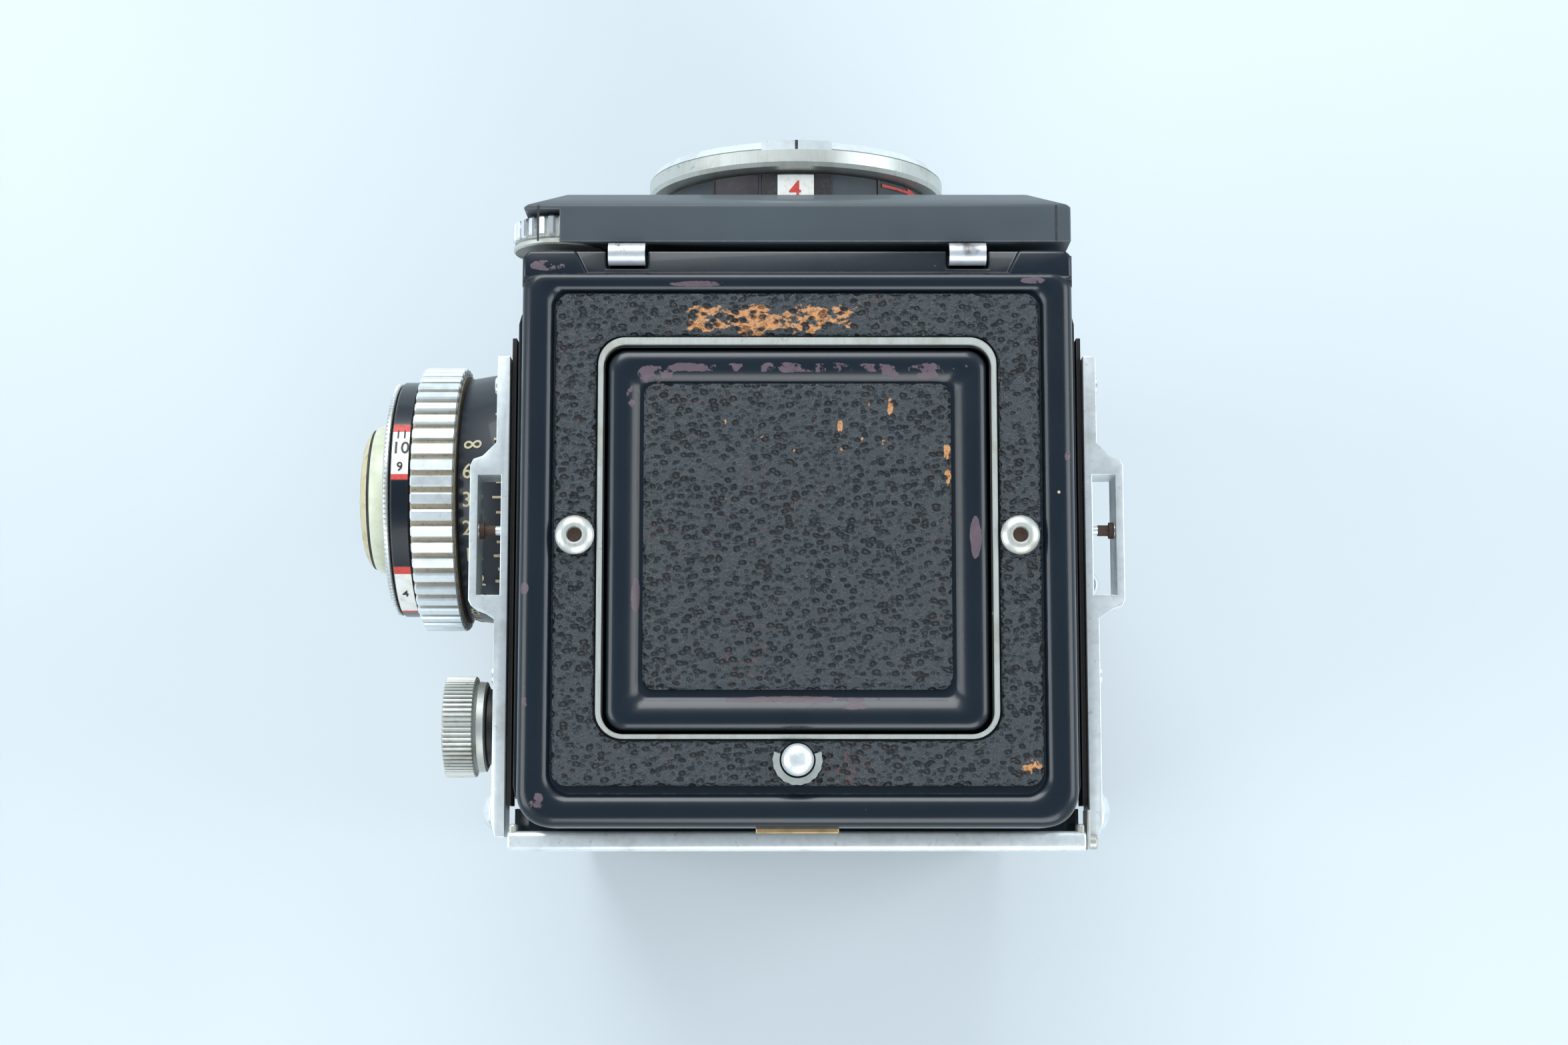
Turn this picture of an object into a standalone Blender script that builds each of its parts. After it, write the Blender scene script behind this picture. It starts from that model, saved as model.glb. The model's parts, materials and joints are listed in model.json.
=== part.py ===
"""Twin lens reflex camera for 6 x 6 cm pictures on roll film, with its hood folded.

The lenses face -Y, the focusing knob is on +X and the crank on -X. The origin is on the tripod plate,
under the middle of the body. Sizes are in millimetres and become metres when a mesh is made.
"""

import math

import bmesh
import bpy
from mathutils import Matrix, Vector

MM = 0.001
GAP = 0.3                      # between pieces that touch on the real object

# Body
BODY_HALF = 36.7               # half width of the casting
BODY_FRONT, BODY_REAR = -34.8, 31.1
BODY_BOTTOM, BODY_TOP = 1.6, 124.6
LEATHER = 0.4
CHAMBER_HALF = 33.2            # half width of the film chambers
FLAP_SPLIT = 7.0               # the bottom flap of the back starts here
FLAP_TOP = 3.1
BACK_REAR = 34.6

# Optics
VIEW_Z, TAKE_Z = 107.5, 65.0   # heights of the two lens axes
GATE_HALF = 28.0
GATE_REAR = 30.9
STANDARD_FRONT = -41.5
HOUSING_R = 18.6

# Film transport
SPOOL_UPPER, SPOOL_LOWER = (20.0, 107.7), (-18.0, 19.0)
SPOOL_R, SPOOL_HALF = 12.4, 32.8
CRANK = (-3.0, 84.0)
CRANK_ARM = 29.0               # from the crank's axis to its grip

# Knobs
FOCUS = (-13.0, 95.0)
FOCUS_R = 18.7
CELL_SCREW = (30.2, 137.3)
COUNTER = (-22.5, 104.0)       # film counter, on the crank side

# Front standard, as (x, z)
WHEEL_X = 24.5
RELEASE = (-25.5, 19.0)
TIMER = (25.5, 46.0)
SYNC = (25.5, 19.0)

# Tripod plate and latch
PLATE_Y, PLATE_R, LATCH_R = -12.5, 15.0, 18.5
FOOT_X, FOOT_Y = 28.0, 27.0

# Hood
LID_TOP = 145.0
LID_HALF, LID_FRONT, LID_REAR = 34.3, -37.6, 34.1
LID_AXIS = (-37.2, 143.9)
LID_RIM_BOTTOM = 136.8
LID_FLOOR = 144.0              # seat of the lid leather
KNUCKLE_X = 21.3               # the lid's two hinge knuckles
SIDE_AXIS = (31.0, 127.6)
SIDE_HEIGHT = 29.5
REAR_AXIS = (31.0, 135.6)
REAR_HEIGHT = 24.0
PANEL = 0.8
FLAP_HALF, FLAP_FRONT, FLAP_REAR = 23.5, -24.9, 22.4
MAGNIFIER_AXIS = (24.5, 137.9)
LID_BUTTON = (0, 26.0)
BACK_AXIS = (35.5, 125.1)

FINISHES = {                   # colour, roughness, metallic
    "black_paint": ((0.012, 0.015, 0.022), 0.28, 0.0),
    "black_matt": ((0.010, 0.010, 0.011), 0.70, 0.0),
    "leather": ((0.030, 0.034, 0.040), 0.62, 0.0),
    "chrome": ((0.74, 0.75, 0.74), 0.16, 1.0),
    "satin_nickel": ((0.58, 0.59, 0.56), 0.34, 1.0),
    "worn_nickel": ((0.42, 0.42, 0.39), 0.42, 1.0),
    "glass": ((0.030, 0.026, 0.045), 0.05, 0.0),
    "ground_glass": ((0.62, 0.65, 0.66), 0.60, 0.0),
    "mirror": ((0.86, 0.88, 0.90), 0.04, 1.0),
    "cream_plastic": ((0.72, 0.75, 0.60), 0.32, 0.0),
    "spool_plastic": ((0.020, 0.020, 0.021), 0.45, 0.0),
}


def clear_scene():
    for thing in list(bpy.data.objects):
        bpy.data.objects.remove(thing)


def finish(name):
    """The named finish as a Principled material, made once."""
    if name in bpy.data.materials:
        return bpy.data.materials[name]
    colour, roughness, metallic = FINISHES[name]
    made = bpy.data.materials.new(name)
    made.use_nodes = True
    shader = made.node_tree.nodes["Principled BSDF"]
    shader.inputs["Base Color"].default_value = (*colour, 1.0)
    shader.inputs["Roughness"].default_value = roughness
    shader.inputs["Metallic"].default_value = metallic
    made.diffuse_color = (*colour, 1.0)
    return made


def arc(cx, cy, radius, start, end, steps):
    """Points on a circle from one angle to another, in degrees, both ends included."""
    turn = [math.radians(start + (end - start) * i / steps) for i in range(steps + 1)]
    return [(cx + radius * math.cos(a), cy + radius * math.sin(a)) for a in turn]


def circle(cx, cy, radius, steps=32):
    return arc(cx, cy, radius, 0, 360, steps)[:-1]


def rounded(x0, x1, y0, y1, radius, steps=4, low_radius=None):
    """A rectangle with round corners. Those at y0 can have a radius of their own."""
    low = radius if low_radius is None else low_radius
    corners = [(x1 - radius, y1 - radius, radius, 0), (x0 + radius, y1 - radius, radius, 90),
               (x0 + low, y0 + low, low, 180), (x1 - low, y0 + low, low, 270)]
    return [p for cx, cy, size, a in corners for p in arc(cx, cy, size, a, a + 90, steps)]


def knurl(cx, cy, radius, depth, teeth, share=0.62):
    """A circle with flat-topped teeth, which take this share of the pitch."""
    pitch = 2 * math.pi / teeth
    points = []
    for i in range(teeth):
        for part, r in ((0, radius), (share, radius), (share + 0.1, radius - depth), (0.9, radius - depth)):
            a = (i + part) * pitch
            points.append((cx + r * math.cos(a), cy + r * math.sin(a)))
    return points


AXES = {                       # how (a, b, height) of an outline becomes X, Y, Z
    "X": lambda a, b, h: (h, a, b),
    "Y": lambda a, b, h: (a, h, b),
    "Z": lambda a, b, h: (a, b, h),
}


def new_object(name, work, look=None, origin=None):
    """A mesh object from bmesh data in millimetres, its origin moved to the given point."""
    bmesh.ops.recalc_face_normals(work, faces=work.faces)
    at = Vector(origin) if origin else Vector()
    bmesh.ops.transform(work, matrix=Matrix.Scale(MM, 4) @ Matrix.Translation(-at), verts=work.verts)
    mesh = bpy.data.meshes.new(name)
    work.to_mesh(mesh)
    work.free()
    made = bpy.data.objects.new(name, mesh)
    bpy.context.scene.collection.objects.link(made)
    made.location = at * MM
    if look:
        mesh.materials.append(finish(look))
        mesh.shade_smooth()
        mesh.set_sharp_from_angle(angle=math.radians(35))
    return made


def prism(name, outlines, low, high, axis="Z", look=None, origin=None):
    """An outline, with holes where more outlines follow it, extruded along an axis."""
    work = bmesh.new()
    place = AXES[axis]
    for height in (low, high):
        edges = []
        for outline in outlines:
            loop = [work.verts.new(place(a, b, height)) for a, b in outline]
            edges += [work.edges.new((loop[i - 1], loop[i])) for i in range(len(loop))]
        bmesh.ops.triangle_fill(work, edges=edges, use_beauty=True)
    work.verts.ensure_lookup_table()
    total = sum(len(outline) for outline in outlines)
    start = 0
    for outline in outlines:
        count = len(outline)
        for i in range(count):
            j = (i + 1) % count
            corners = (start + i, start + j, total + start + j, total + start + i)
            work.faces.new([work.verts[k] for k in corners])
        start += count
    return new_object(name, work, look, origin)


def box(name, x, y, z, look=None, origin=None):
    """A block between three pairs of limits."""
    return prism(name, [[(x[0], y[0]), (x[1], y[0]), (x[1], y[1]), (x[0], y[1])]], *z, "Z", look, origin)


def turned(name, profile, centre, axis, steps=40, look=None, origin=None):
    """A profile of (radius, height) points turned about an axis line through centre.

    The profile runs from the axis back to the axis, or it is a closed loop that never touches it.
    """
    work = bmesh.new()
    place = AXES[axis]
    ca, cb = centre
    rings = []
    for radius, height in profile:
        if radius == 0:
            rings.append([work.verts.new(place(ca, cb, height))])
        else:
            rings.append([work.verts.new(place(a, b, height)) for a, b in circle(ca, cb, radius, steps)])
    loops = list(zip(rings, rings[1:]))
    if profile[0][0] > 0:
        loops.append((rings[-1], rings[0]))
    for one, two in loops:
        for i in range(steps):
            j = (i + 1) % steps
            corners = [one[i % len(one)], one[j % len(one)], two[j % len(two)], two[i % len(two)]]
            work.faces.new(list(dict.fromkeys(corners)))
    return new_object(name, work, look, origin)


def combine(target, operation, *tools):
    """Cuts helper solids out of a piece, or joins them to it. The helpers stay hidden."""
    for tool in tools:
        tool.hide_render = True
        tool.display_type = "WIRE"
        step = target.modifiers.new(tool.name, "BOOLEAN")
        step.operation = operation
        step.object = tool
        step.solver = "EXACT"
    return target


def cut(target, *tools):
    return combine(target, "DIFFERENCE", *tools)


def join(target, *tools):
    return combine(target, "UNION", *tools)


def soften(target, width, segments=2, angle=50):
    """Rounds the edges that are sharper than the angle."""
    step = target.modifiers.new("soft_edges", "BEVEL")
    step.width = width * MM
    step.segments = segments
    step.limit_method = "ANGLE"
    step.angle_limit = math.radians(angle)
    return target


def at(side, x0, x1):
    """A range along X on the +X side, or its mirror image on the -X side."""
    return (x0, x1) if side > 0 else (-x1, -x0)


def taking_chamber():
    """The light cone between the taking lens and the film gate."""
    work = bmesh.new()
    ends = []
    for y, half_x, low, high in ((-31.2, 17.0, 51.5, 79.0), (GATE_REAR + 1, GATE_HALF,
                                 TAKE_Z - GATE_HALF, TAKE_Z + GATE_HALF)):
        ends.append([work.verts.new((x, y, z)) for x, z in
                     ((-half_x, low), (half_x, low), (half_x, high), (-half_x, high))])
    work.faces.new(ends[0])
    work.faces.new(ends[1])
    for i in range(4):
        work.faces.new((ends[0][i - 1], ends[0][i], ends[1][i], ends[1][i - 1]))
    return new_object("cut_light_cone", work)


def mirror_slope(y):
    """Height of the mirror's seat, which rises at 45 degrees towards the rear."""
    return y + 108.6


def body_casting():
    casting = prism("body_casting", [rounded(-BODY_HALF, BODY_HALF, BODY_FRONT, BODY_REAR, 2.5, 3)],
                    BODY_BOTTOM, BODY_TOP, look="black_matt")
    foot, rear = (-23.6, mirror_slope(-23.6)), (13.0, mirror_slope(13.0))
    viewing = [(-31.6, foot[1]), foot, rear, (28.4, rear[1]), (28.4, 126), (-31.6, 126)]
    spool_y, spool_z = SPOOL_UPPER
    film_room = 13.1
    inside = (-CHAMBER_HALF, CHAMBER_HALF)
    cut(casting,
        box("cut_flap_room", (-40, 40), (FLAP_SPLIT - GAP, 40), (0, FLAP_TOP + GAP)),
        prism("cut_viewing_chamber", [viewing], -28.2, 28.2, "X"),
        box("cut_screen_seat", (-30, 30), (-31.8, 28.7), (121.7, 126)),
        taking_chamber(),
        box("cut_lower_chamber", inside, (-31.2, 32), (5.4, 32.6)),
        turned("cut_upper_chamber", [(0, -CHAMBER_HALF), (film_room, -CHAMBER_HALF),
                                     (film_room, CHAMBER_HALF), (0, CHAMBER_HALF)], SPOOL_UPPER, "X", 28),
        box("cut_upper_mouth", inside, (spool_y, 32), (97.6, spool_z + film_room)),
        box("cut_upper_roller", (-31, 31), (26.4, 32), (92.6, 98.2)),
        box("cut_lower_roller", (-31, 31), (26.4, 32), (32.0, 37.4)))
    hole = [(0, BODY_FRONT - 1), (16, BODY_FRONT - 1), (16, -31), (0, -31)]
    cut(casting,
        turned("cut_view_hole", hole, (0, VIEW_Z), "Y", 20),
        turned("cut_take_hole", [(r and 13.6, y) for r, y in hole], (0, TAKE_Z), "Y", 20),
        turned("cut_plate_seat", [(0, 0), (LATCH_R + 0.6, 0), (LATCH_R + 0.6, 3), (0, 3)],
               (0, PLATE_Y), "Z", 32),
        turned("cut_thread", [(0, 2), (3.3, 2), (3.3, 4.8), (0, 4.8)], (0, PLATE_Y), "Z", 20),
        turned("cut_focus_hole", [(0, 32), (5, 32), (5, 38), (0, 38)], FOCUS, "X", 24),
        turned("cut_upper_knob_hole", [(0, 32), (3.2, 32), (3.2, 38), (0, 38)], SPOOL_UPPER, "X", 20),
        turned("cut_lower_knob_hole", [(0, 32), (3.2, 32), (3.2, 38), (0, 38)], SPOOL_LOWER, "X", 20),
        turned("cut_crank_hole", [(0, -38), (4.4, -38), (4.4, -34.4), (0, -34.4)], CRANK, "X", 20),
        turned("cut_counter_seat", [(0, -38), (6.4, -38), (6.4, -34.8), (0, -34.8)], COUNTER, "X", 24))
    for side in (-1, 1):
        join(casting, foot_pad(f"join_front_foot_{side}", side * FOOT_X, -FOOT_Y))


def foot_pad(name, x, y):
    return turned(name, [(0, 0), (2.6, 0), (3.4, 0.8), (3.4, 2.4), (0, 2.4)], (x, y), "Z", 16)


def body_leather():
    """The skins on both sides, with openings for what passes through them."""
    skin = rounded(BODY_FRONT + 1.2, BODY_REAR - 1.2, 5, 116.5, 2, 2)
    inner = BODY_HALF + GAP
    holes = [circle(*FOCUS, 7, 24), circle(*SPOOL_UPPER, 4.2, 16), circle(*SPOOL_LOWER, 4.2, 16)]
    prism("body_leather_left", [skin, *holes], inner, inner + LEATHER, "X", "leather")
    holes = [circle(*CRANK, 6, 20), circle(*COUNTER, 3, 16)]
    prism("body_leather_right", [skin, *holes], -inner - LEATHER, -inner, "X", "leather")


def strap_brackets():
    """A rail along each upper side edge, with the strap loop standing out of it."""
    for side, name in ((1, "strap_bracket_left"), (-1, "strap_bracket_right")):
        rail, face, out, wall = 37.7, 39.4, 42.8, 1.05
        loop = [(face, -16.4), (out - 1.6, -14.6), (out - 0.4, -14.2), (out, -13.4), (out, 4.4),
                (out - 0.4, 5.2), (out - 1.6, 5.6), (face, 6.8)]
        strip = [(rail, -27.9), (face, -27.9), *loop, (face, 33.2), (face - 0.5, 35.1), (rail, 35.1)]
        window = [(rail + 1.0, -12.1), (out - wall, -12.1), (out - wall, 3.75), (rail + 1.0, 3.75)]
        outlines = [[(side * x, y) for x, y in line] for line in (strip, window)]
        bracket = prism(name, outlines, 118.6, 125.3, "Z", "chrome")
        stud = [(0, 38), (0.6, 38), (0.6, 41), (1.0, 41), (1.0, 42), (0, 42)]
        join(bracket, turned(f"join_stud_{name}", [(r, side * x) for r, x in stud], (-4.9, 123.6), "X", 12))
        dome = [(0, 39), (2.5, 39), (2.5, 39.7), (1.6, 40.5), (0, 40.8)]
        join(bracket, turned(f"join_dome_{name}", [(r, side * x) for r, x in dome], (31.7, 121.8), "X", 16))


def tripod_plate():
    """The round plate with the tripod thread in its middle. Its lower face holds the origin."""
    profile = [(3.3, 0), (PLATE_R - 0.4, 0), (PLATE_R, 0.4), (PLATE_R, 2.7), (3.3, 2.7)]
    turned("tripod_plate", profile, (0, PLATE_Y), "Z", 32, "satin_nickel")


def back_latch():
    """The ring round the tripod plate. Its tongue holds the bottom flap up."""
    inner, origin = PLATE_R + GAP, (0, PLATE_Y, 0.4)
    ring = turned("back_latch", [(inner, 0.4), (LATCH_R, 0.4), (LATCH_R, 2.7), (inner, 2.7)],
                  (0, PLATE_Y), "Z", 32, "worn_nickel", origin)
    reach = FLAP_SPLIT + 0.8
    join(ring, box("join_latch_tongue", (-5, 5), (PLATE_Y + LATCH_R - 1.5, reach), (0.4, 1.3)))
    for side in (-1, 1):
        join(ring, box(f"join_latch_grip_{side}", at(side, LATCH_R - 1, LATCH_R + 1.6),
                       (PLATE_Y - 4, PLATE_Y + 4), (0.4, 1.3)))


def back_door():
    """The hinged back: a shallow tray behind the film, and the flap under the rear of the body."""
    tray = prism("back_door", [rounded(-BODY_HALF, BODY_HALF, BODY_BOTTOM, 123.4, 2, 2)],
                 BODY_REAR + GAP, BACK_REAR, "Y", "black_matt", (0, *BACK_AXIS))
    cut(tray, box("cut_back_tray", (-CHAMBER_HALF, CHAMBER_HALF), (30, 33.4), (FLAP_TOP + 2.2, 121)))
    join(tray, box("join_flap", (-BODY_HALF, BODY_HALF), (FLAP_SPLIT, BACK_REAR - 1),
                   (BODY_BOTTOM, FLAP_TOP)))
    for side in (-1, 1):
        join(tray, foot_pad(f"join_rear_foot_{side}", side * FOOT_X, FOOT_Y))
    hidden = BACK_REAR + GAP
    prism("back_leather", [rounded(-34.5, 34.5, 6, 121, 2, 2)], hidden, hidden + LEATHER, "Y", "leather",
          (0, *BACK_AXIS))
    prism("pressure_plate", [rounded(-31, 31, 34.5, 96.5, 2, 2)], GATE_REAR + 0.7, GATE_REAR + 1.5, "Y",
          "black_matt", (0, GATE_REAR + 0.7, TAKE_Z))


def back_hinge():
    """The bar across the upper rear edge that the back hangs on."""
    bar = rounded(34.3, 36.9, 123.9, 126.3, 0.7, 3)
    prism("back_hinge_bar", [bar], -37.2, 37.2, "X", "chrome")


def spools():
    """Two empty film spools: flanged ends, a core, and a socket at each end."""
    for name, centre in (("takeup_spool", SPOOL_UPPER), ("supply_spool", SPOOL_LOWER)):
        half, web, socket = SPOOL_HALF, SPOOL_HALF - 1.4, SPOOL_HALF - 5
        profile = [(0, -socket), (2.4, -socket), (2.4, -half), (SPOOL_R, -half), (SPOOL_R, -web), (5.2, -web),
                   (5.2, web), (SPOOL_R, web), (SPOOL_R, half), (2.4, half), (2.4, socket), (0, socket)]
        turned(name, profile, centre, "X", 20, "spool_plastic", (0, *centre))


def rollers():
    for name, z in (("film_roller_upper", 95.6), ("film_roller_lower", 34.4)):
        turned(name, [(0, -30.7), (2, -30.7), (2, 30.7), (0, 30.7)], (28.9, z), "X", 16, "satin_nickel",
               (0, 28.9, z))


def spool_knobs():
    """Pull-out knobs whose pins hold the spools on the focusing side."""
    for name, centre in (("spool_knob_upper", SPOOL_UPPER), ("spool_knob_lower", SPOOL_LOWER)):
        profile = [(0, 28.6), (1.8, 28.6), (1.8, 33.1), (2.6, 33.1), (2.6, 38.0), (5.9, 38.0), (6.0, 39.6),
                   (5.2, 40.0), (5.2, 44.0), (0, 44.0)]
        knob = turned(name, profile, centre, "X", 20, "worn_nickel", (38, *centre))
        join(knob, prism(f"join_grip_{name}", [circle(*centre, 6.85, 32)], 43.3, 47.5, "X"))


def crank():
    """The winding crank: a disc on the body side, an arm, and a grip that folds out of the arm."""
    y, z = CRANK
    pivot = (-38, y, z)
    disc = [(0, -39.7), (13.2, -39.7), (14, -39.0), (14, -37.8), (3.9, -37.8), (3.9, -34.8), (0, -34.8)]
    plate = turned("crank", disc, CRANK, "X", 28, "chrome", pivot)
    arm = arc(y, z, 5.5, 0, 180, 8) + arc(y, z - CRANK_ARM, 4, 180, 360, 8)
    join(plate, prism("join_crank_arm", [arm], -41.3, -39.4, "X"))
    grip = [(0, 61.2), (1.3, 61.2), (1.9, 62.4), (1.9, 75.0), (1.4, 75.8), (0, 75.8)]
    handle = turned("crank_handle", grip, (-43.7, y), "Z", 16, "chrome", (-43.7, y, z - CRANK_ARM))
    fork = rounded(-45.0, -41.7, z - CRANK_ARM - 2, z - CRANK_ARM + 8, 1.4, 3)
    join(handle, prism("join_handle_fork", [fork], y - 2.4, y + 2.4, "Y"))


def counter_dial():
    turned("counter_dial", [(0, -36.4), (6, -36.4), (6, -35.2), (0, -35.2)], COUNTER, "X", 24,
           "satin_nickel", (-36, *COUNTER))


def front_plate():
    """The lens board, which carries both lenses forward."""
    plate = prism("front_plate", [rounded(-34.5, 34.5, 8, 124.5, 5, 4)], STANDARD_FRONT, BODY_FRONT - 0.4,
                  "Y", "black_paint")
    passage = [(0, -42.5), (14.4, -42.5), (14.4, -34), (0, -34)]
    cut(plate, turned("cut_view_passage", passage, (0, VIEW_Z), "Y", 20),
        turned("cut_take_passage", [(r and 12.4, y) for r, y in passage], (0, TAKE_Z), "Y", 20),
        turned("cut_release_passage", [(r and 3.4, y) for r, y in passage], RELEASE, "Y", 16))
    front = STANDARD_FRONT - GAP
    for side, name in ((1, "front_leather_left"), (-1, "front_leather_right")):
        strip = [(side * x, z) for x, z in rounded(20.5, 32.5, 32, 74, 2, 2)]
        prism(name, [strip], front - LEATHER, front, "Y", "leather")


def lens_unit(name, z, ring_r, front, tube_r):
    """A lens housing on the standard, its filter ring and its front glass."""
    back, face = STANDARD_FRONT - GAP, front + 3.7
    housing = [(9.5, -33), (tube_r, -33), (tube_r, back), (HOUSING_R, back), (HOUSING_R, face + GAP),
               (13.2, face + GAP), (13.2, back - 3.5), (9.5, back - 3.5)]
    turned(f"{name}_housing", housing, (0, z), "Y", 36, "black_paint")
    ring = [(13.6, face), (ring_r - 1.0, face), (ring_r, face - 0.8), (ring_r, front + 1.1),
            (ring_r - 0.6, front), (17.4, front), (16.6, front + 0.5), (13.6, front + 1.6)]
    turned(f"{name}_ring", ring, (0, z), "Y", 40, "satin_nickel")
    lens = [(0, back - 4), (12.8, back - 4), (12.8, face - 0.2), (8.5, face - 1.5), (4.4, face - 2.2),
            (0, face - 2.4)]
    turned(f"{name}_lens", lens, (0, z), "Y", 20, "glass")


def setting_wheels():
    """The aperture and shutter wheels, one each side between the lenses."""
    for side, name in ((1, "aperture_wheel"), (-1, "shutter_wheel")):
        x, z = side * WHEEL_X, (VIEW_Z + TAKE_Z) / 2
        wheel = prism(name, [circle(x, z, 8.5, 32)], -45.6, -42.6, "Y", "chrome", (x, -44, z))
        cap = [(0, -47.0), (5.0, -47.0), (6.2, -46.2), (6.2, -45.4), (6.2, -42.8), (7.4, -42.8),
               (7.4, -41.8), (0, -41.8)]
        join(wheel, turned(f"join_cap_{name}", cap, (x, z), "Y", 20))


def release():
    """The shutter release and the ring that locks it, at the lower corner on the crank side."""
    x, z = RELEASE
    button = [(0, -47.0), (3.2, -46.6), (4.2, -45.6), (4.2, -44.6), (3.0, -44.6), (3.0, -42.0), (0, -42.0)]
    turned("release_button", button, (x, z), "Y", 16, "chrome", (x, -44, z))
    ring = [(4.6, -41.8), (6.4, -41.8), (6.4, -43.6), (4.6, -43.6)]
    lock = turned("release_lock", ring[::-1], (x, z), "Y", 20, "worn_nickel", (x, -43, z))
    join(lock, box("join_lock_lever", (x - 1.4, x + 1.4), (-43.4, -42.0), (z + 5.6, z + 10)))


def timer_lever():
    x, z = TIMER
    hub = [(0, -44.6), (2.6, -44.6), (3.2, -44.0), (3.2, -42.5), (0, -42.5)]
    lever = turned("timer_lever", hub, (x, z), "Y", 16, "chrome", (x, -43, z))
    arm = arc(x, z, 2.2, 180, 360, 6) + arc(x, z + 12, 1.5, 0, 180, 6)
    join(lever, prism("join_timer_arm", [arm], -44.1, -42.7, "Y"))


def sync_socket():
    socket = [(0, -43), (1.4, -43), (1.4, -46.4), (3.4, -46.4), (4.2, -45.6), (4.2, -41.8), (0, -41.8)]
    turned("sync_socket", socket, SYNC, "Y", 16, "chrome")


def focus_knob():
    """Distance scale, knurled ring, exposure ring, rim and meter dome, from the body outwards."""
    y, z = FOCUS
    pivot = (40, y, z)
    scale = [(0, 34.5), (4.6, 34.5), (4.6, 38.0), (18.4, 38.0), (18.5, 39.4), (17.8, 42.0), (17.1, 46.1),
             (0, 46.1)]
    turned("focus_scale", scale, FOCUS, "X", 36, "black_paint", pivot)
    prism("focus_ring", [knurl(y, z, FOCUS_R, 0.7, 50, 0.66)], 46.4, 52.5, "X", "satin_nickel", pivot)
    turned("exposure_ring", [(0, 52.8), (16.7, 52.8), (16.7, 55.4), (0, 55.4)], FOCUS, "X", 36, "black_paint",
           (54, y, z))
    turned("knob_rim", [(0, 55.7), (16.5, 55.7), (16.5, 56.1), (16.0, 56.5), (0, 56.5)], FOCUS, "X", 36,
           "chrome", pivot)
    dome = [(0, 56.8), (10.5, 56.8), (10.4, 58.4), (9.4, 59.9), (7.4, 60.9), (4.0, 61.3), (0, 61.4)]
    turned("meter_dome", dome, FOCUS, "X", 28, "cream_plastic", pivot)


def cell_housing():
    """The light cell's housing above the viewing lens, with the plain nameplate on top."""
    side = [(-37.1, 129.5), (-37.1, 136.0), (-38.8, 136.0), (-38.8, 144.0), (-43.6, 144.0), (-46.6, 137.2),
            (-46.6, 129.5)]
    housing = prism("cell_housing", [side], -LID_HALF, LID_HALF, "X", "black_paint")
    for sign in (-1, 1):
        corner = [(sign * 27.5, -48.0), (sign * 35.5, -48.0), (sign * 35.5, -42.4)]
        cut(housing, prism(f"cut_cell_corner_{sign}", [corner], 128, 146))
    cut(housing, box("cut_cell_window", (-25.5, 25.5), (-48, -45.6), (130.6, 136.6)))
    x, z = CELL_SCREW
    pocket = [(0, -43.0), (6.4, -43.0), (6.4, -36.5), (0, -36.5)]
    cut(housing, turned("cut_screw_pocket", pocket, CELL_SCREW, "Y", 24),
        box("cut_screw_mouth", (x, 40), (-43.0, -36.5), (z - 6.4, z + 6.4)),
        box("cut_screw_top", (x - 0.4, 40), (-43.0, -36.5), (z, 146)))
    box("cell_window", (-25.2, 25.2), (-46.4, -45.9), (130.9, 136.3), "ground_glass")
    prism("cell_screw", [knurl(x, z, 6.0, 0.5, 18)], -42.7, -38.7, "Y", "chrome", (x, -40, z))


def hood_base():
    """The frame on top of the body that holds the screen, the panels and the lid hinge."""
    base = prism("hood_base", [rounded(-34, 34, -36.8, 34, 3, 3)], 125.0, 136.4, look="black_paint")
    cut(base, box("cut_base_well", (-32.4, 32.4), (-35.8, 32.6), (126.2, 140)),
        box("cut_base_window", (-27.6, 27.6), (-28.5, 27.6), (120, 130)))
    join(base, box("join_front_wall", (-32.4, 32.4), (-36.8, -35.8), (125.5, 141.5)))
    for side in (-1, 1):
        x = side * KNUCKLE_X
        web = arc(*LID_AXIS, 1.2, -20, 200, 8) + [(-36.8, 141.0), (-35.8, 141.0)]
        join(base, prism(f"join_knuckle_{side}", [web], x - 2.2, x + 2.2, "X"))
    box("focusing_screen", (-29.7, 29.7), (-31.5, 28.4), (122.0, 123.6), "ground_glass")
    low, high = -22.4, 11.2
    lift, thick = 0.45, 1.2
    glass = [(low, mirror_slope(low) + lift), (high, mirror_slope(high) + lift),
             (high - thick, mirror_slope(high) + lift + thick),
             (low - thick, mirror_slope(low) + lift + thick)]
    prism("reflex_mirror", [glass], -27.8, 27.8, "X", "mirror")


def side_panels():
    """The side walls of the hood, folded flat over the screen."""
    axis_x, z = SIDE_AXIS
    tall = SIDE_HEIGHT
    for side, name in ((1, "hood_side_left"), (-1, "hood_side_right")):
        shape = [(0.4, -35.2), (17.0, -35.2), (tall, -28.4), (tall, 15.2), (9.4, 29.2), (0.4, 29.2)]
        outline = [(side * (axis_x - s), y) for s, y in shape]
        leaf = prism(name, [outline], z - PANEL / 2, z + PANEL / 2, "Z", "black_matt", (side * axis_x, 0, z))
        join(leaf, turned(f"join_barrel_{name}", [(0, -35.2), (0.8, -35.2), (0.8, 29.2), (0, 29.2)],
                          (side * axis_x, z), "Y", 10))


def rear_panel():
    y, z = REAR_AXIS
    outline = [(-29.6, y - 0.4), (29.6, y - 0.4), (27.0, y - REAR_HEIGHT), (-27.0, y - REAR_HEIGHT)]
    leaf = prism("hood_rear", [outline], z - PANEL / 2, z + PANEL / 2, "Z", "black_matt", (0, y, z))
    barrel = [(0, -29.6), (0.8, -29.6), (0.8, 29.6), (0, 29.6)]
    join(leaf, turned("join_barrel_rear", barrel, (y, z), "X", 10))


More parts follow.
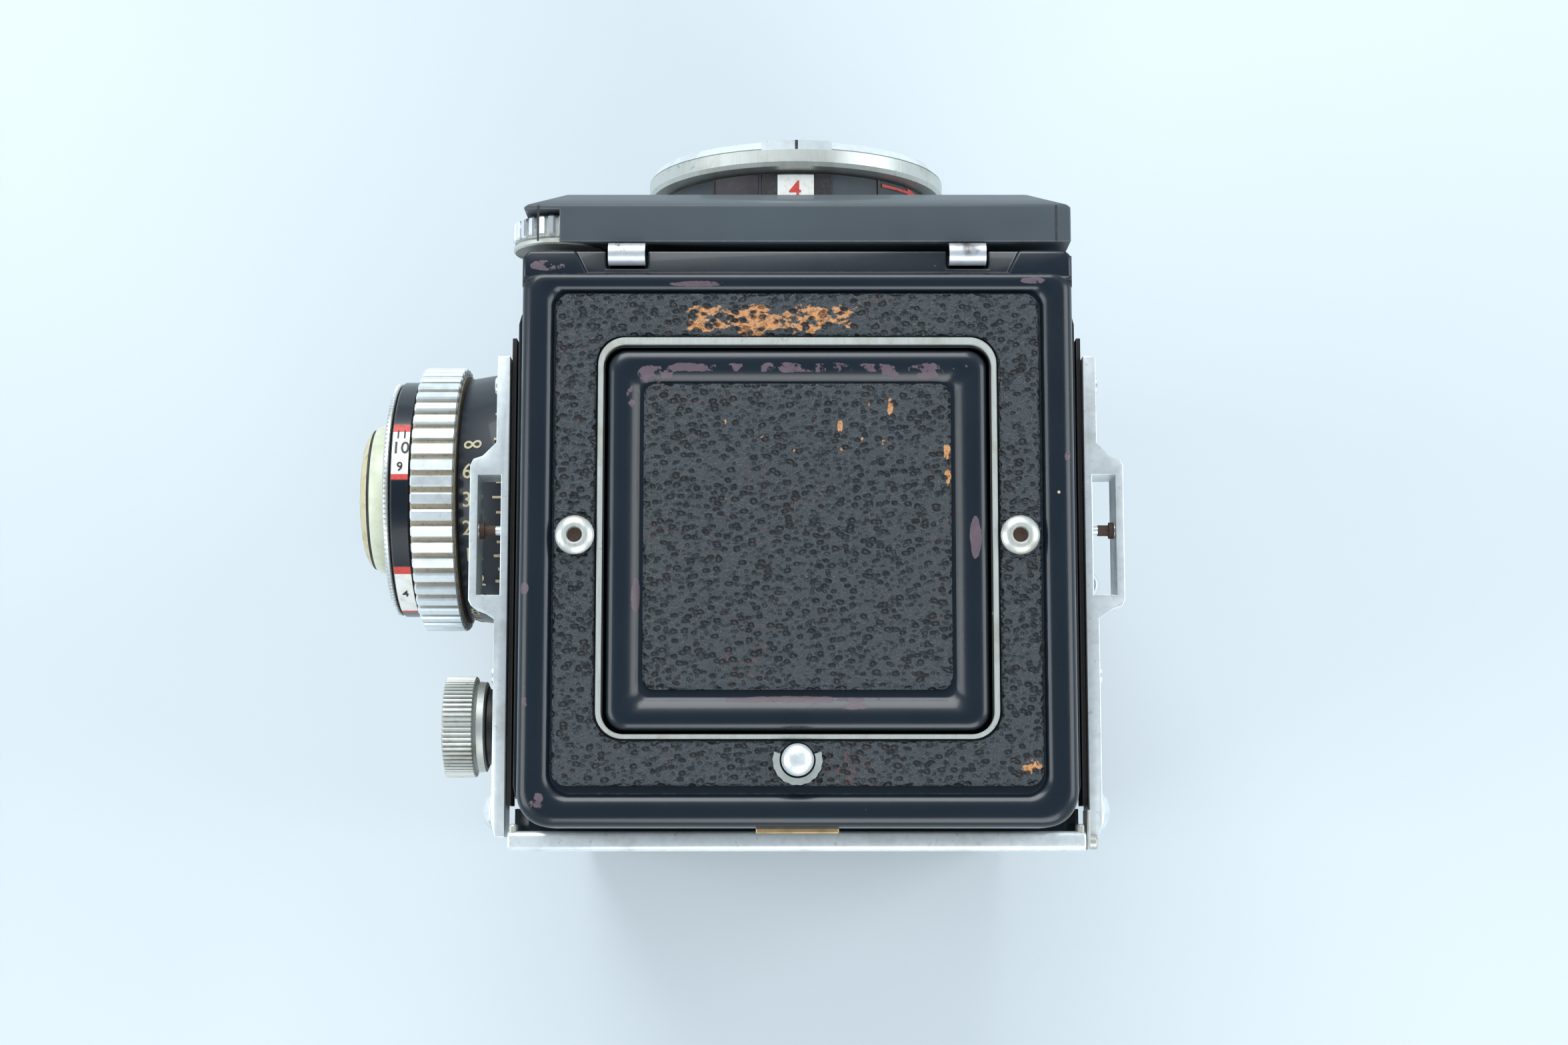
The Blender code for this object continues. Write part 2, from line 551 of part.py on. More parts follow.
def hood_lid():
    """The lid: a shallow tray turned over the folded panels, open where the finder flap sits."""
    pivot = (0, *LID_AXIS)
    lid = prism("hood_lid", [rounded(-LID_HALF, LID_HALF, LID_FRONT, LID_REAR, 4.2, 4, 1.4)],
                LID_RIM_BOTTOM, LID_TOP, look="black_paint", origin=pivot)
    soften(lid, 1.3, 2, 60)
    cut(lid, prism("cut_lid_inside", [rounded(-33.1, 33.1, -45, LID_REAR - 1.2, 3.0, 3)], 130, 142.9),
        prism("cut_leather_seat", [rounded(-30.3, 30.3, -32.3, 29.4, 2.2, 3)], LID_FLOOR, 150),
        prism("cut_flap_opening", [rounded(-FLAP_HALF - 0.4, FLAP_HALF + 0.4, FLAP_FRONT - 0.4,
                                           FLAP_REAR + 0.4, 2.4, 3)], 130, 150),
        box("cut_lid_front", (-27.5, 27.5), (-40, -34.5), (144.3, 150)),
        turned("cut_button_hole", [(0, 140), (1.5, 140), (1.5, 150), (0, 150)], LID_BUTTON, "Z", 16))
    for side in (-1, 1):
        x = side * KNUCKLE_X
        cut(lid, box(f"cut_knuckle_room_{side}", (x - 2.6, x + 2.6), (-40, -35.4), (130, 150)))
        y = MAGNIFIER_AXIS[0]
        lug = [(y - 1.4, 136.9), (y + 1.4, 136.9), (y + 2.4, 143.2), (y - 0.8, 143.2)]
        join(lid, prism(f"join_magnifier_lug_{side}", [lug], *at(side, 6.4, 7.6), "X"))
    return pivot


def lid_trim(pivot):
    """What is fixed to the lid: leather, finder frame, rivets and the button's plate."""
    outer = rounded(-30, 30, -32, 29.1, 1.8, 3)
    inner = rounded(-24.9, 24.9, -26.6, 23.6, 3.4, 4)
    hole = circle(*LID_BUTTON, 2.2, 16)
    prism("lid_leather", [outer, inner, hole], LID_FLOOR + GAP, LID_TOP - 0.1, "Z", "leather", pivot)
    frame = [rounded(-24.7, 24.7, -26.4, 23.4, 3.4, 5), rounded(-24.1, 24.1, -25.5, 22.9, 2.6, 5)]
    prism("finder_frame", frame, LID_FLOOR + GAP, LID_TOP + 0.1, "Z", "satin_nickel", pivot)
    top = LID_TOP + 0.2
    for side, name in ((1, "lid_rivet_left"), (-1, "lid_rivet_right")):
        ring = [(1.0, top), (2.25, top), (2.25, top + 0.6), (1.9, top + 0.9), (1.0, top + 0.9)]
        turned(name, ring, (side * 27.4, -1.6), "Z", 16, "satin_nickel", pivot)
    plate = arc(*LID_BUTTON, 3.05, -58, 238, 16)
    prism("button_plate", [plate, circle(*LID_BUTTON, 2.2, 16)], top, top + 0.4, "Z", "worn_nickel", pivot)


def lid_button():
    top = LID_TOP + 0.6
    profile = [(0, 140.9), (1.2, 140.9), (1.2, top), (1.95, top), (1.95, top + 1.1), (1.4, top + 1.8),
               (0, top + 2.0)]
    turned("lid_button", profile, LID_BUTTON, "Z", 16, "chrome", (*LID_BUTTON, top))


def finder_flap():
    """The flap in the lid, hinged along its front edge, with its leather."""
    pivot = (0, FLAP_FRONT + 0.4, 143.6)
    flap = prism("finder_flap", [rounded(-FLAP_HALF, FLAP_HALF, FLAP_FRONT, FLAP_REAR, 2.2, 4)], 143.0, 145.0,
                 look="black_paint", origin=pivot)
    soften(flap, 0.8, 2, 60)
    cut(flap, prism("cut_flap_seat", [rounded(-19.2, 19.2, -20.8, 17.6, 1.6, 3)], 144.1, 150))
    prism("flap_leather", [rounded(-19, 19, -20.6, 17.4, 1.5, 3)], 144.4, 144.9, "Z", "leather", pivot)


def magnifier():
    """The focusing magnifier under the lid: a round frame on an arm, and its glass."""
    y, z = MAGNIFIER_AXIS
    pivot = (0, y, z)
    lens_y = y - 15.5
    ring = [(9.9, z - 1.1), (11.5, z - 1.1), (11.5, z + 1.1), (9.9, z + 1.1)]
    frame = turned("magnifier_arm", ring, (0, lens_y), "Z", 28, "black_matt", pivot)
    join(frame, box("join_magnifier_arm", (-5.6, 5.6), (lens_y + 10.6, y), (z - 0.6, z + 0.6)),
         turned("join_magnifier_barrel", [(0, -6.1), (1.0, -6.1), (1.0, 6.1), (0, 6.1)], (y, z), "X", 12))
    glass = [(0, z - 1.0), (5.5, z - 0.9), (9.5, z - 0.3), (9.5, z + 0.3), (5.5, z + 0.9), (0, z + 1.0)]
    turned("magnifier_lens", glass, (0, lens_y), "Z", 20, "glass", pivot)


def build_camera():
    clear_scene()
    body_casting()
    body_leather()
    strap_brackets()
    tripod_plate()
    back_latch()
    back_door()
    back_hinge()
    spools()
    rollers()
    spool_knobs()
    crank()
    counter_dial()
    front_plate()
    lens_unit("viewing", VIEW_Z, 20.4, -56.5, 14.0)
    lens_unit("taking", TAKE_Z, 20.0, -56.0, 12.0)
    setting_wheels()
    release()
    timer_lever()
    sync_socket()
    focus_knob()
    cell_housing()
    hood_base()
    side_panels()
    rear_panel()
    lid_trim(hood_lid())
    lid_button()
    finder_flap()
    magnifier()


build_camera()
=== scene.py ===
import json
import math

import bmesh
import bpy
from mathutils import Matrix, Vector, noise


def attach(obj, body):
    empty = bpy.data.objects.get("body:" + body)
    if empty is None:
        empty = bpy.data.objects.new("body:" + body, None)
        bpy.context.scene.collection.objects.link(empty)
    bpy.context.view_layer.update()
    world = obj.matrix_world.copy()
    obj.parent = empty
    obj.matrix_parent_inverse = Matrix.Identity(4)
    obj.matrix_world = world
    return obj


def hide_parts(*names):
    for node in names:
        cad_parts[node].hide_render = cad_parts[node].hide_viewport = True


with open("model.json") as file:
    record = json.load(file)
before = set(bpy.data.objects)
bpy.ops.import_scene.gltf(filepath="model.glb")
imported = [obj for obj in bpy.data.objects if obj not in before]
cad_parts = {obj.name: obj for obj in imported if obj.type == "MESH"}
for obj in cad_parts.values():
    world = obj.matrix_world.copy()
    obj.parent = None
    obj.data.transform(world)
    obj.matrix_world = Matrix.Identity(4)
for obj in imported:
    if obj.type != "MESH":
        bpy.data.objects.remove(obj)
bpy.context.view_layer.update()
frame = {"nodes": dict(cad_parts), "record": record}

mm = 0.001               # everything below is measured in millimetres
nodes = frame["nodes"]
bodyOf = {node: body for body, names in frame["record"]["behaviour"]["bodies"].items() for node in names}
print("frame loaded:", len(nodes), "nodes")

# Where the round pieces turn: the two coordinates across their axis
lensAxis = {"viewing": (0.0, 107.5), "taking": (0.0, 65.0)}       # x, z
cellScrewAxis, syncAxis = (30.2, 137.3), (25.5, 19.0)              # x, z
wheelAxes = {"aperture_wheel": (24.5, 86.25), "shutter_wheel": (-24.5, 86.25)}
focusAxis, crankAxis, counterAxis = (-13.0, 95.0), (-3.0, 84.0), (-22.5, 104.0)   # y, z
spoolAxes = {"upper": (20.0, 107.7), "lower": (-18.0, 19.0)}
strapStudAxis, lidHingeAxis, backHingeAxis = (-4.9, 123.6), (-37.2, 143.9), (35.7, 125.0)
lidButtonAxis = (0.0, 26.0)                                        # x, y


# camera, light and floor

def makeCamera():
    view = {"place": (0.00165, 0.0386, 0.4623), "tilt": 7.5, "focal": 59.7, "sensor": 36.0}
    data = bpy.data.cameras.new("topCamera")
    data.lens, data.sensor_width, data.clip_start = view["focal"], view["sensor"], 0.01
    made = bpy.data.objects.new("topCamera", data)
    bpy.context.scene.collection.objects.link(made)
    tilt = math.radians(view["tilt"])
    look = Vector((0, -math.sin(tilt), -math.cos(tilt)))
    up = Vector((0, -math.cos(tilt), math.sin(tilt)))
    turn = Matrix((look.cross(up), up, -look)).transposed().to_4x4()
    made.matrix_world = Matrix.Translation(Vector(view["place"])) @ turn
    bpy.context.scene.camera = made


def makeLight():
    # a pale room, dim straight above, so flat gloss stays dark while rounded edges catch the soft lamps
    light = {"above": (0.17, 0.205, 0.245, 1), "around": (0.62, 0.70, 0.78, 1), "strength": 1.0}
    world = bpy.data.worlds.new("paleRoom")
    bpy.context.scene.world = world
    world.use_nodes = True
    tree = world.node_tree
    background = tree.nodes["Background"]
    where = tree.nodes.new("ShaderNodeTexCoord")
    split = tree.nodes.new("ShaderNodeSeparateXYZ")
    ramp = tree.nodes.new("ShaderNodeValToRGB")
    ramp.color_ramp.interpolation = "EASE"
    ramp.color_ramp.elements[0].position, ramp.color_ramp.elements[0].color = 0.45, light["around"]
    ramp.color_ramp.elements[1].position, ramp.color_ramp.elements[1].color = 0.93, light["above"]
    tree.links.new(where.outputs["Generated"], split.inputs[0])
    tree.links.new(split.outputs["Z"], ramp.inputs[0])
    tree.links.new(ramp.outputs[0], background.inputs["Color"])
    background.inputs["Strength"].default_value = light["strength"]
    lamps = {"softFront": ((0.15, -0.85, 0.75), 0.75, 11.0), "softRear": ((-0.2, 0.8, 0.75), 0.75, 7.5),
             "softLeft": ((0.85, 0.1, 0.65), 0.70, 5.5), "softRight": ((-0.85, -0.1, 0.65), 0.70, 5.5)}
    for name, (place, size, power) in lamps.items():
        data = bpy.data.lights.new(name, "AREA")
        data.size, data.energy, data.color = size, power, (0.96, 0.99, 1.0)
        made = bpy.data.objects.new(name, data)
        bpy.context.scene.collection.objects.link(made)
        made.location = place
        made.rotation_euler = (Vector((0, 0, 0.07)) - Vector(place)).to_track_quat("-Z", "Y").to_euler()
    bpy.context.scene.view_settings.view_transform = "Standard"


# shader nodes

class Wire:      # a socket that takes part in sums

    def __init__(self, tree, socket):
        self.tree, self.socket = tree, socket

    def maths(self, operation, other=0.0, swap=False):
        made = self.tree.nodes.new("ShaderNodeMath")
        made.operation = operation
        for socket, term in zip(made.inputs, (other, self) if swap else (self, other)):
            feed(self.tree, socket, term)
        return Wire(self.tree, made.outputs[0])

    def __add__(self, other):
        return self.maths("ADD", other)

    def __sub__(self, other):
        return self.maths("SUBTRACT", other)

    def __rsub__(self, other):
        return self.maths("SUBTRACT", other, True)

    def __mul__(self, other):
        return self.maths("MULTIPLY", other)

    def __truediv__(self, other):
        return self.maths("DIVIDE", other)

    def __rtruediv__(self, other):
        return self.maths("DIVIDE", other, True)

    def __pow__(self, other):
        return self.maths("POWER", other)

    __radd__, __rmul__ = __add__, __mul__

    def most(self, other):
        return self.maths("MAXIMUM", other)

    def step(self, low, high):      # 0 below low, 1 above high, smooth between
        made = self.tree.nodes.new("ShaderNodeMapRange")
        made.interpolation_type = "SMOOTHSTEP"
        for key, value in (("Value", self), ("From Min", low), ("From Max", high)):
            feed(self.tree, made.inputs[key], value)
        return Wire(self.tree, made.outputs[0])


def feed(tree, socket, value):
    if isinstance(value, Wire):
        tree.links.new(value.socket, socket)
    elif socket.type == "RGBA":
        socket.default_value = (*value, 1.0)
    else:
        socket.default_value = value


class Finish:
    def __init__(self, name, fixed):
        self.material = bpy.data.materials.new(name)
        self.material.use_nodes = True
        self.tree = self.material.node_tree
        self.shader = self.tree.nodes["Principled BSDF"]
        self.set(fixed)
        self.place = self.node("ShaderNodeTexCoord", output="Object")

    def set(self, values):
        for key, value in values.items():
            feed(self.tree, self.shader.inputs[key], value)

    def node(self, kind, settings=None, sockets=None, output=0):
        made = self.tree.nodes.new(kind)
        for key, value in (settings or {}).items():
            setattr(made, key, value)
        for key, value in (sockets or {}).items():
            feed(self.tree, made.inputs[key], value)
        return Wire(self.tree, made.outputs[output])

    def slanted(self, angle, stretch, where=None):
        return self.node("ShaderNodeMapping", None, {"Vector": where or self.place, "Rotation": (0.0, 0.0, angle),
                                                     "Scale": stretch})

    def noise(self, size, detail=2.0, rough=0.5, stretch=None):       # size of a blotch in mm
        where = self.slanted(0.0, stretch) if stretch else self.place
        return self.node("ShaderNodeTexNoise", None, {"Vector": where, "Scale": 1000 / size, "Detail": detail,
                                                      "Roughness": rough})

    def cells(self, size, where=None):                                 # distance to the next cell point
        return self.node("ShaderNodeTexVoronoi", None, {"Vector": where or self.place, "Scale": 1000 / size},
                         "Distance")

    def axis(self, letter):                                            # a coordinate in mm
        return self.node("ShaderNodeSeparateXYZ", None, {0: self.place}, letter) * 1000

    def mixed(self, mask, one, other):
        return self.node("ShaderNodeMix", {"data_type": "RGBA"}, {0: mask, 6: one, 7: other}, 2)

    def edges(self, width):                                            # 1 along edges, 0 on flats
        soft = self.node("ShaderNodeBevel", {"samples": 4}, {"Radius": width * mm})
        real = self.node("ShaderNodeNewGeometry", output="Normal")
        return 1 - self.node("ShaderNodeVectorMath", {"operation": "DOT_PRODUCT"}, {0: soft, 1: real}, "Value")

    def bump(self, height, depth):                                     # depth in mm
        self.set({"Normal": self.node("ShaderNodeBump", None, {"Height": height, "Distance": depth * mm,
                                                               "Strength": 1.0})})


# finishes

enamel = {"black": (0.0040, 0.0078, 0.0128), "plate": (0.030, 0.040, 0.048), "worn": (0.062, 0.040, 0.052),
          "rub": (0.105, 0.080, 0.098), "primer": (0.20, 0.19, 0.18), "speck": (0.62, 0.55, 0.38)}


def makeEnamel(name, wear, gloss=0.25, chips=0.02, base=enamel["black"]):
    # glossy stove enamel, rubbed to its purple undercoat where the wear value is high
    made = Finish(name, {"Specular IOR Level": 0.42, "Coat Roughness": 0.04})
    blotch = made.noise(3.2, 6.0, 0.66)
    if wear:
        rubbed = (blotch + wear(made) * 0.30).step(0.735, 0.765)
    else:
        rubbed = made.noise(9, 5.0, 0.6).step(0.80, 0.83)
    dust = made.noise(0.3, 2.0).step(0.72, 0.82)
    speck = made.cells(11.0).step(0.030, 0.016)
    edge = made.edges(0.4)
    chipped = (edge * 3 + made.noise(0.8, 4.0) * 0.5).step(0.56, 0.66) * chips * 20
    colour = made.mixed(made.noise(14, 2.0), base, [c * 1.5 for c in base])
    colour = made.mixed(rubbed, colour, made.mixed(made.noise(1.2, 4.0), enamel["worn"], enamel["rub"]))
    colour = made.mixed(dust * 0.08, colour, (0.5, 0.5, 0.5))
    colour = made.mixed(chipped.maths("MINIMUM", 1.0), colour, enamel["primer"])
    colour = made.mixed(speck, colour, enamel["speck"])
    made.set({"Base Color": colour, "Roughness": gloss + rubbed * 0.18 + made.noise(7, 4.0) * 0.07,
              "Coat Weight": 0.15 - rubbed * 0.12})
    made.bump(made.noise(0.5, 2.0) * 0.35 + made.noise(3.0) - rubbed * 0.9, 0.010)
    return made.material


def makeLeather(name, worn=False):
    # black morocco: short creased pits in slanting rows with painted shade in them, fine pores, tan where the dye has
    # gone
    tone = {"top": (0.0135, 0.0205, 0.0262), "low": (0.0022, 0.0030, 0.0042), "tan": (0.43, 0.205, 0.075),
            "deepTan": (0.26, 0.10, 0.035), "red": (0.075, 0.022, 0.020)}
    made = Finish(name, {"Specular IOR Level": 0.5})
    bend = made.node("ShaderNodeTexNoise", None, {"Vector": made.place, "Scale": 620.0, "Detail": 2.0}, "Color")
    where = made.node("ShaderNodeMix", {"data_type": "VECTOR"}, {0: 0.0007, 4: made.place, 5: bend}, 1)
    slanted = made.slanted(0.42, (0.78, 1.18, 1.0), where)
    pits = made.cells(1.08, where=slanted).step(0.42, 0.16)
    small = made.cells(0.62, where=slanted).step(0.42, 0.10)
    fine = made.noise(0.32, 3.0)
    folds = made.noise(1.5, 3.0, 0.6)
    height = folds * 0.5 - pits * 1.0 - small * 0.35 + fine * 0.30
    blotch = made.noise(7.0, 3.0)
    dull, bright = [c * 0.7 for c in tone["top"]], [c * 1.35 for c in tone["top"]]
    colour = made.mixed(fine * 0.5 + blotch * 0.5, dull, bright)
    # painted shade: the pits are darkened towards near black in the colour
    colour = made.mixed(pits * 0.85, colour, tone["low"])
    redden = (made.noise(0.9, 2.0) + made.noise(12.0) * 0.5).step(0.93, 1.0)
    colour = made.mixed(redden * 0.55, colour, tone["red"])
    if worn:
        flecks = made.node("ShaderNodeTexNoise", None, {"Vector": made.slanted(-0.7, (0.75, 1.25, 1.0)),
                                                        "Scale": 1000 / 1.45, "Detail": 5.0, "Roughness": 0.62})
        bareness = made.node("ShaderNodeAttribute", {"attribute_name": "bare"}, output="Fac")
        bare = (bareness * 0.55 + flecks - pits * 0.10).step(0.98, 1.04)
        # the bare hide turns deeper tan where the fine grain is high, which is grain tone, and in the pits, which is
        # painted shade
        hide = made.mixed((fine + pits * 0.5).step(0.4, 0.8), tone["tan"], tone["deepTan"])
        colour = made.mixed(bare, colour, hide)
    made.set({"Base Color": colour, "Roughness": 0.24 + fine * 0.16 + blotch * 0.10})
    made.bump(height, 0.85)
    return made.material


def makeMetal(name, colour, dark, rough, stain, metallic, brush=None, chrome=False):
    # plated metal with a brushed or polished face, dull patches and blotches of grime
    made = Finish(name, {"Metallic": metallic, "Specular IOR Level": 0.5})
    marks = made.noise(0.16, 2.0, 0.6, brush) if brush else made.noise(0.9, 5.0, 0.65)
    patch = made.noise(5.5, 5.0, 0.6)
    grime = made.noise(1.4, 4.0, 0.7).step(0.60, 0.74) * stain
    tone = made.mixed(marks, [c * 0.86 for c in colour], [min(c * 1.1, 1.0) for c in colour])
    tone = made.mixed(patch.step(0.5, 0.72) * stain, tone, dark)
    tone = made.mixed(grime, tone, (0.10, 0.085, 0.055))
    made.set({"Base Color": tone,
              "Roughness": rough + marks * (0.04 if chrome else 0.14) + patch * 0.06 + grime * 0.25})
    made.bump(marks, 0.002 if chrome else 0.006)
    return made.material


def makeMatt(name, colour, rough):
    # flat black paint, paler where its edges are rubbed
    made = Finish(name, {"Specular IOR Level": 0.4})
    crackle = made.noise(0.5, 4.0, 0.6)
    rub = (made.edges(0.5) * 3 + made.noise(1.2, 3.0) * 0.4).step(0.5, 0.7)
    tone = made.mixed(crackle, [c * 0.7 for c in colour], [c * 1.4 for c in colour])
    made.set({"Base Color": made.mixed(rub * 0.5, tone, [c * 3 + 0.03 for c in colour]),
              "Roughness": rough + crackle * 0.14 - rub * 0.15})
    made.bump(crackle, 0.02)
    return made.material


def makePlain(name, colour, dark, rough, size):
    # paint fill, plastic and marks: a colour with its grime
    made = Finish(name, {})
    grain = made.noise(size, 4.0, 0.65)
    made.set({"Base Color": made.mixed(grain.step(0.45, 0.85), colour, dark), "Roughness": rough + grain * 0.2})
    made.bump(grain, 0.01)
    return made.material


def makeGlass(name, squareOnReflection, rimReflection):
    # coated front glass over a dark barrel: the coating's reflection is painted into the colour by facing, purple
    # bloom square on, amber at the rim
    made = Finish(name, {"Roughness": 0.03, "IOR": 1.6, "Coat Roughness": 0.02})
    facing = made.node("ShaderNodeLayerWeight", None, {"Blend": 0.4}, "Facing")
    dust = made.noise(0.5, 3.0).step(0.66, 0.78)
    # painted reflection: the base colour runs from the purple bloom square on to amber at the rim
    made.set({"Base Color": made.mixed(dust * 0.06, made.mixed(facing, squareOnReflection, rimReflection), (0.5, 0.5, 0.5)),
              "Coat Weight": 1 - dust * 0.2, "Roughness": 0.03 + dust * 0.2})
    return made.material


def makeClear(name):
    made = Finish(name, {"Transmission Weight": 0.92, "IOR": 1.52, "Base Color": (0.93, 0.96, 0.97)})
    made.set({"Roughness": 0.03 + made.noise(0.8, 3.0).step(0.62, 0.8) * 0.15})
    return made.material


def makeScreen(name):
    # ground glass with ruled lines
    made = Finish(name, {"Specular IOR Level": 0.5})
    lines = None
    for letter, middle in (("X", 0.0), ("Y", -1.5)):
        away = ((made.axis(letter) - middle) / 11 + 20.5).maths("FRACT") - 0.5
        line = 1 - (away.maths("ABSOLUTE") * 11).step(0.06, 0.11)
        lines = line if lines is None else lines.most(line)
    grain = made.noise(0.25, 3.0)
    tone = made.mixed(grain, (0.46, 0.50, 0.52), (0.60, 0.64, 0.66))
    made.set({"Base Color": made.mixed(lines, tone, (0.03, 0.03, 0.03)), "Roughness": 0.5 + grain * 0.2})
    made.bump(grain, 0.01)
    return made.material


def makeMirror(name):
    made = Finish(name, {"Metallic": 1.0})
    dust = made.noise(0.6, 4.0).step(0.60, 0.8)
    made.set({"Base Color": made.mixed(dust * 0.4, (0.86, 0.88, 0.90), (0.5, 0.5, 0.47)),
              "Roughness": 0.03 + dust * 0.3})
    return made.material


def spots(made, places):
    # soft blobs at (x, y, half width, half height, strength)
    best = None
    for x, y, wide, tall, strength in places:
        away = (((made.axis("X") - x) / wide) ** 2 + ((made.axis("Y") - y) / tall) ** 2) ** 0.5
        blob = away.step(1.25, 0.6) * strength
        best = blob if best is None else best.most(blob)
    return best


flapRub = [(0, -22.6, 22, 0.75, 0.9), (-15, -22.2, 6, 1.2, 0.9), (18, -21.8, 2.6, 1.3, 0.9),
           (-21.9, -1.2, 0.8, 2.8, 1.3), (19.9, 5.6, 0.6, 2.4, 1.2), (0, 18.6, 13, 0.5, 1.0),
           (-6, 19.4, 5, 0.5, 0.8), (-20.8, -17.5, 0.8, 1.4, 0.9), (20.6, -19, 0.7, 2.0, 0.8), (5, -22.0, 4, 0.8, 0.8)]
lidRub = [(31.2, -35.6, 2.6, 0.9, 1.1), (-29.5, -33.6, 2.0, 0.5, 1.0), (12, -33.2, 4.5, 0.4, 0.7),
          (-17.5, 31.5, 5, 0.6, 0.6), (31.6, 31.4, 1.4, 1.6, 0.7), (33.4, 20, 0.5, 4.0, 0.8),
          (33.5, 5.0, 0.6, 0.9, 1.2), (-33.4, -12, 0.5, 3.0, 0.7)]


finishes = {
    "enamel": makeEnamel("enamelBlack", None),
    "enamelFlap": makeEnamel("enamelFlap", lambda made: spots(made, flapRub)),
    "enamelLid": makeEnamel("enamelLid", lambda made: spots(made, lidRub)),
    "enamelTop": makeEnamel("enamelSatin", None, gloss=0.36, chips=0.05),
    "enamelPlate": makeEnamel("enamelNameplate", None, gloss=0.48, chips=0.06, base=enamel["plate"]),
    "leather": makeLeather("leatherFlat"),
    "leatherWorn": makeLeather("leatherWorn", worn=True),
    "matt": makeMatt("mattBlack", (0.010, 0.010, 0.011), 0.62),
    "chrome": makeMetal("chromeBright", (0.80, 0.84, 0.87), (0.46, 0.47, 0.47), 0.14, 0.25, 0.75, chrome=True),
    "chromeSoft": makeMetal("chromeSoft", (0.74, 0.80, 0.82), (0.40, 0.40, 0.35), 0.24, 0.4, 0.6),
    "nickel": makeMetal("nickelSatin", (0.56, 0.59, 0.56), (0.34, 0.31, 0.22), 0.30, 0.5, 0.7, (1.0, 0.04, 0.3)),
    "nickelWorn": makeMetal("nickelWorn", (0.52, 0.54, 0.51), (0.24, 0.22, 0.17), 0.36, 0.5, 0.6),
    "tab": makeMetal("tabRubbed", (0.50, 0.54, 0.58), (0.065, 0.040, 0.034), 0.30, 0.95, 0.6),
    "brass": makeMetal("brassBare", (0.44, 0.32, 0.17), (0.16, 0.11, 0.06), 0.36, 0.5, 0.9),
    "yellowed": makePlain("yellowedRim", (0.50, 0.46, 0.29), (0.24, 0.17, 0.085), 0.3, 1.6),
    "zinc": makeMetal("zincDull", (0.34, 0.37, 0.36), (0.15, 0.15, 0.13), 0.42, 0.7, 0.5),
    "rust": makePlain("rustDark", (0.055, 0.028, 0.016), (0.02, 0.014, 0.01), 0.6, 0.5),
    "groove": makePlain("grooveGrime", (0.34, 0.29, 0.21), (0.10, 0.085, 0.06), 0.6, 0.5),
    "cream": makePlain("creamPlastic", (0.56, 0.60, 0.47), (0.40, 0.38, 0.24), 0.22, 5.0),
    "white": makePlain("whitePaint", (0.78, 0.79, 0.76), (0.50, 0.46, 0.36), 0.35, 1.5),
    "gold": makePlain("figurePaint", (0.50, 0.44, 0.27), (0.25, 0.21, 0.12), 0.45, 0.5),
    "red": makePlain("redPaint", (0.58, 0.055, 0.04), (0.25, 0.04, 0.03), 0.4, 0.6),
    "plum": makePlain("plumPaint", (0.020, 0.014, 0.022), (0.05, 0.04, 0.05), 0.3, 1.0),
    "ink": makePlain("blackInk", (0.012, 0.012, 0.013), (0.05, 0.05, 0.05), 0.4, 0.6),
    "glass": makeGlass("glassFront", (0.010, 0.006, 0.022), (0.07, 0.035, 0.02)),
    "clear": makeClear("glassClear"),
    "screen": makeScreen("groundGlass"),
    "cell": makePlain("cellGlass", (0.22, 0.25, 0.26), (0.10, 0.12, 0.13), 0.10, 0.6),
    "mirror": makeMirror("mirrorSilver"),
    "spool": makePlain("spoolPlastic", (0.018, 0.018, 0.019), (0.035, 0.035, 0.034), 0.40, 1.0),
}
slotFinish = {"black_casting": "enamel", "black_paint": "enamel", "black_matt": "matt", "leather": "leather",
              "chrome": "chrome", "satin_nickel": "nickel", "worn_nickel": "nickelWorn", "lens_glass": "glass",
              "ground_glass": "screen", "mirror": "mirror", "cream_plastic": "cream", "spool_plastic": "spool"}
slotNodes = {
    "black_casting": "body_casting back_door",
    "black_matt": "pressure_plate hood_side_left hood_side_right hood_rear magnifier_arm",
    "leather": "body_leather_left body_leather_right back_leather front_leather_left front_leather_right",
    "chrome": "strap_bracket_left strap_bracket_right back_hinge_bar crank crank_handle release_button timer_lever "
              "sync_socket",
    "satin_nickel": "tripod_plate film_roller_upper film_roller_lower counter_dial",
    "worn_nickel": "back_latch release_lock button_plate",
    "spool_plastic": "takeup_spool supply_spool",
    "lens_glass": "viewing_lens taking_lens magnifier_lens",
    "ground_glass": "focusing_screen",
    "mirror": "reflex_mirror",
}
slotOf = {node: slot for slot, names in slotNodes.items() for node in names.split()}
print("finishes mixed:", len(finishes))


# mesh tools

def link(name, mesh):
    made = bpy.data.objects.new(name, mesh)
    bpy.context.scene.collection.objects.link(made)
    return made


def shade(mesh, angle=32):
    mesh.shade_smooth()
    mesh.set_sharp_from_angle(angle=math.radians(angle))


def asPiece(name, work, finish, angle=32, outward=True):
    # a finished object in metres from bmesh work in millimetres
    bmesh.ops.remove_doubles(work, verts=work.verts, dist=0.0008)
    if outward:
        bmesh.ops.recalc_face_normals(work, faces=work.faces)
    bmesh.ops.scale(work, vec=(mm, mm, mm), verts=work.verts)
    mesh = bpy.data.meshes.new(name)
    work.to_mesh(mesh)
    work.free()
    for each in [finish] if isinstance(finish, str) else finish:
        mesh.materials.append(finishes[each])
    shade(mesh, angle)
    return link(name, mesh)


def settle(piece, body, slot, *replaced):
    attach(piece, body)
    if replaced:
        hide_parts(*replaced)
    return piece


def baked(made):
    # the object with its modifiers worked into a plain mesh
    bpy.context.view_layer.update()
    graph = bpy.context.evaluated_depsgraph_get()
    mesh = bpy.data.meshes.new_from_object(made.evaluated_get(graph))
    old, made.data = made.data, mesh
    made.modifiers.clear()
    name = old.name
    bpy.data.meshes.remove(old)
    mesh.name = name
    return made


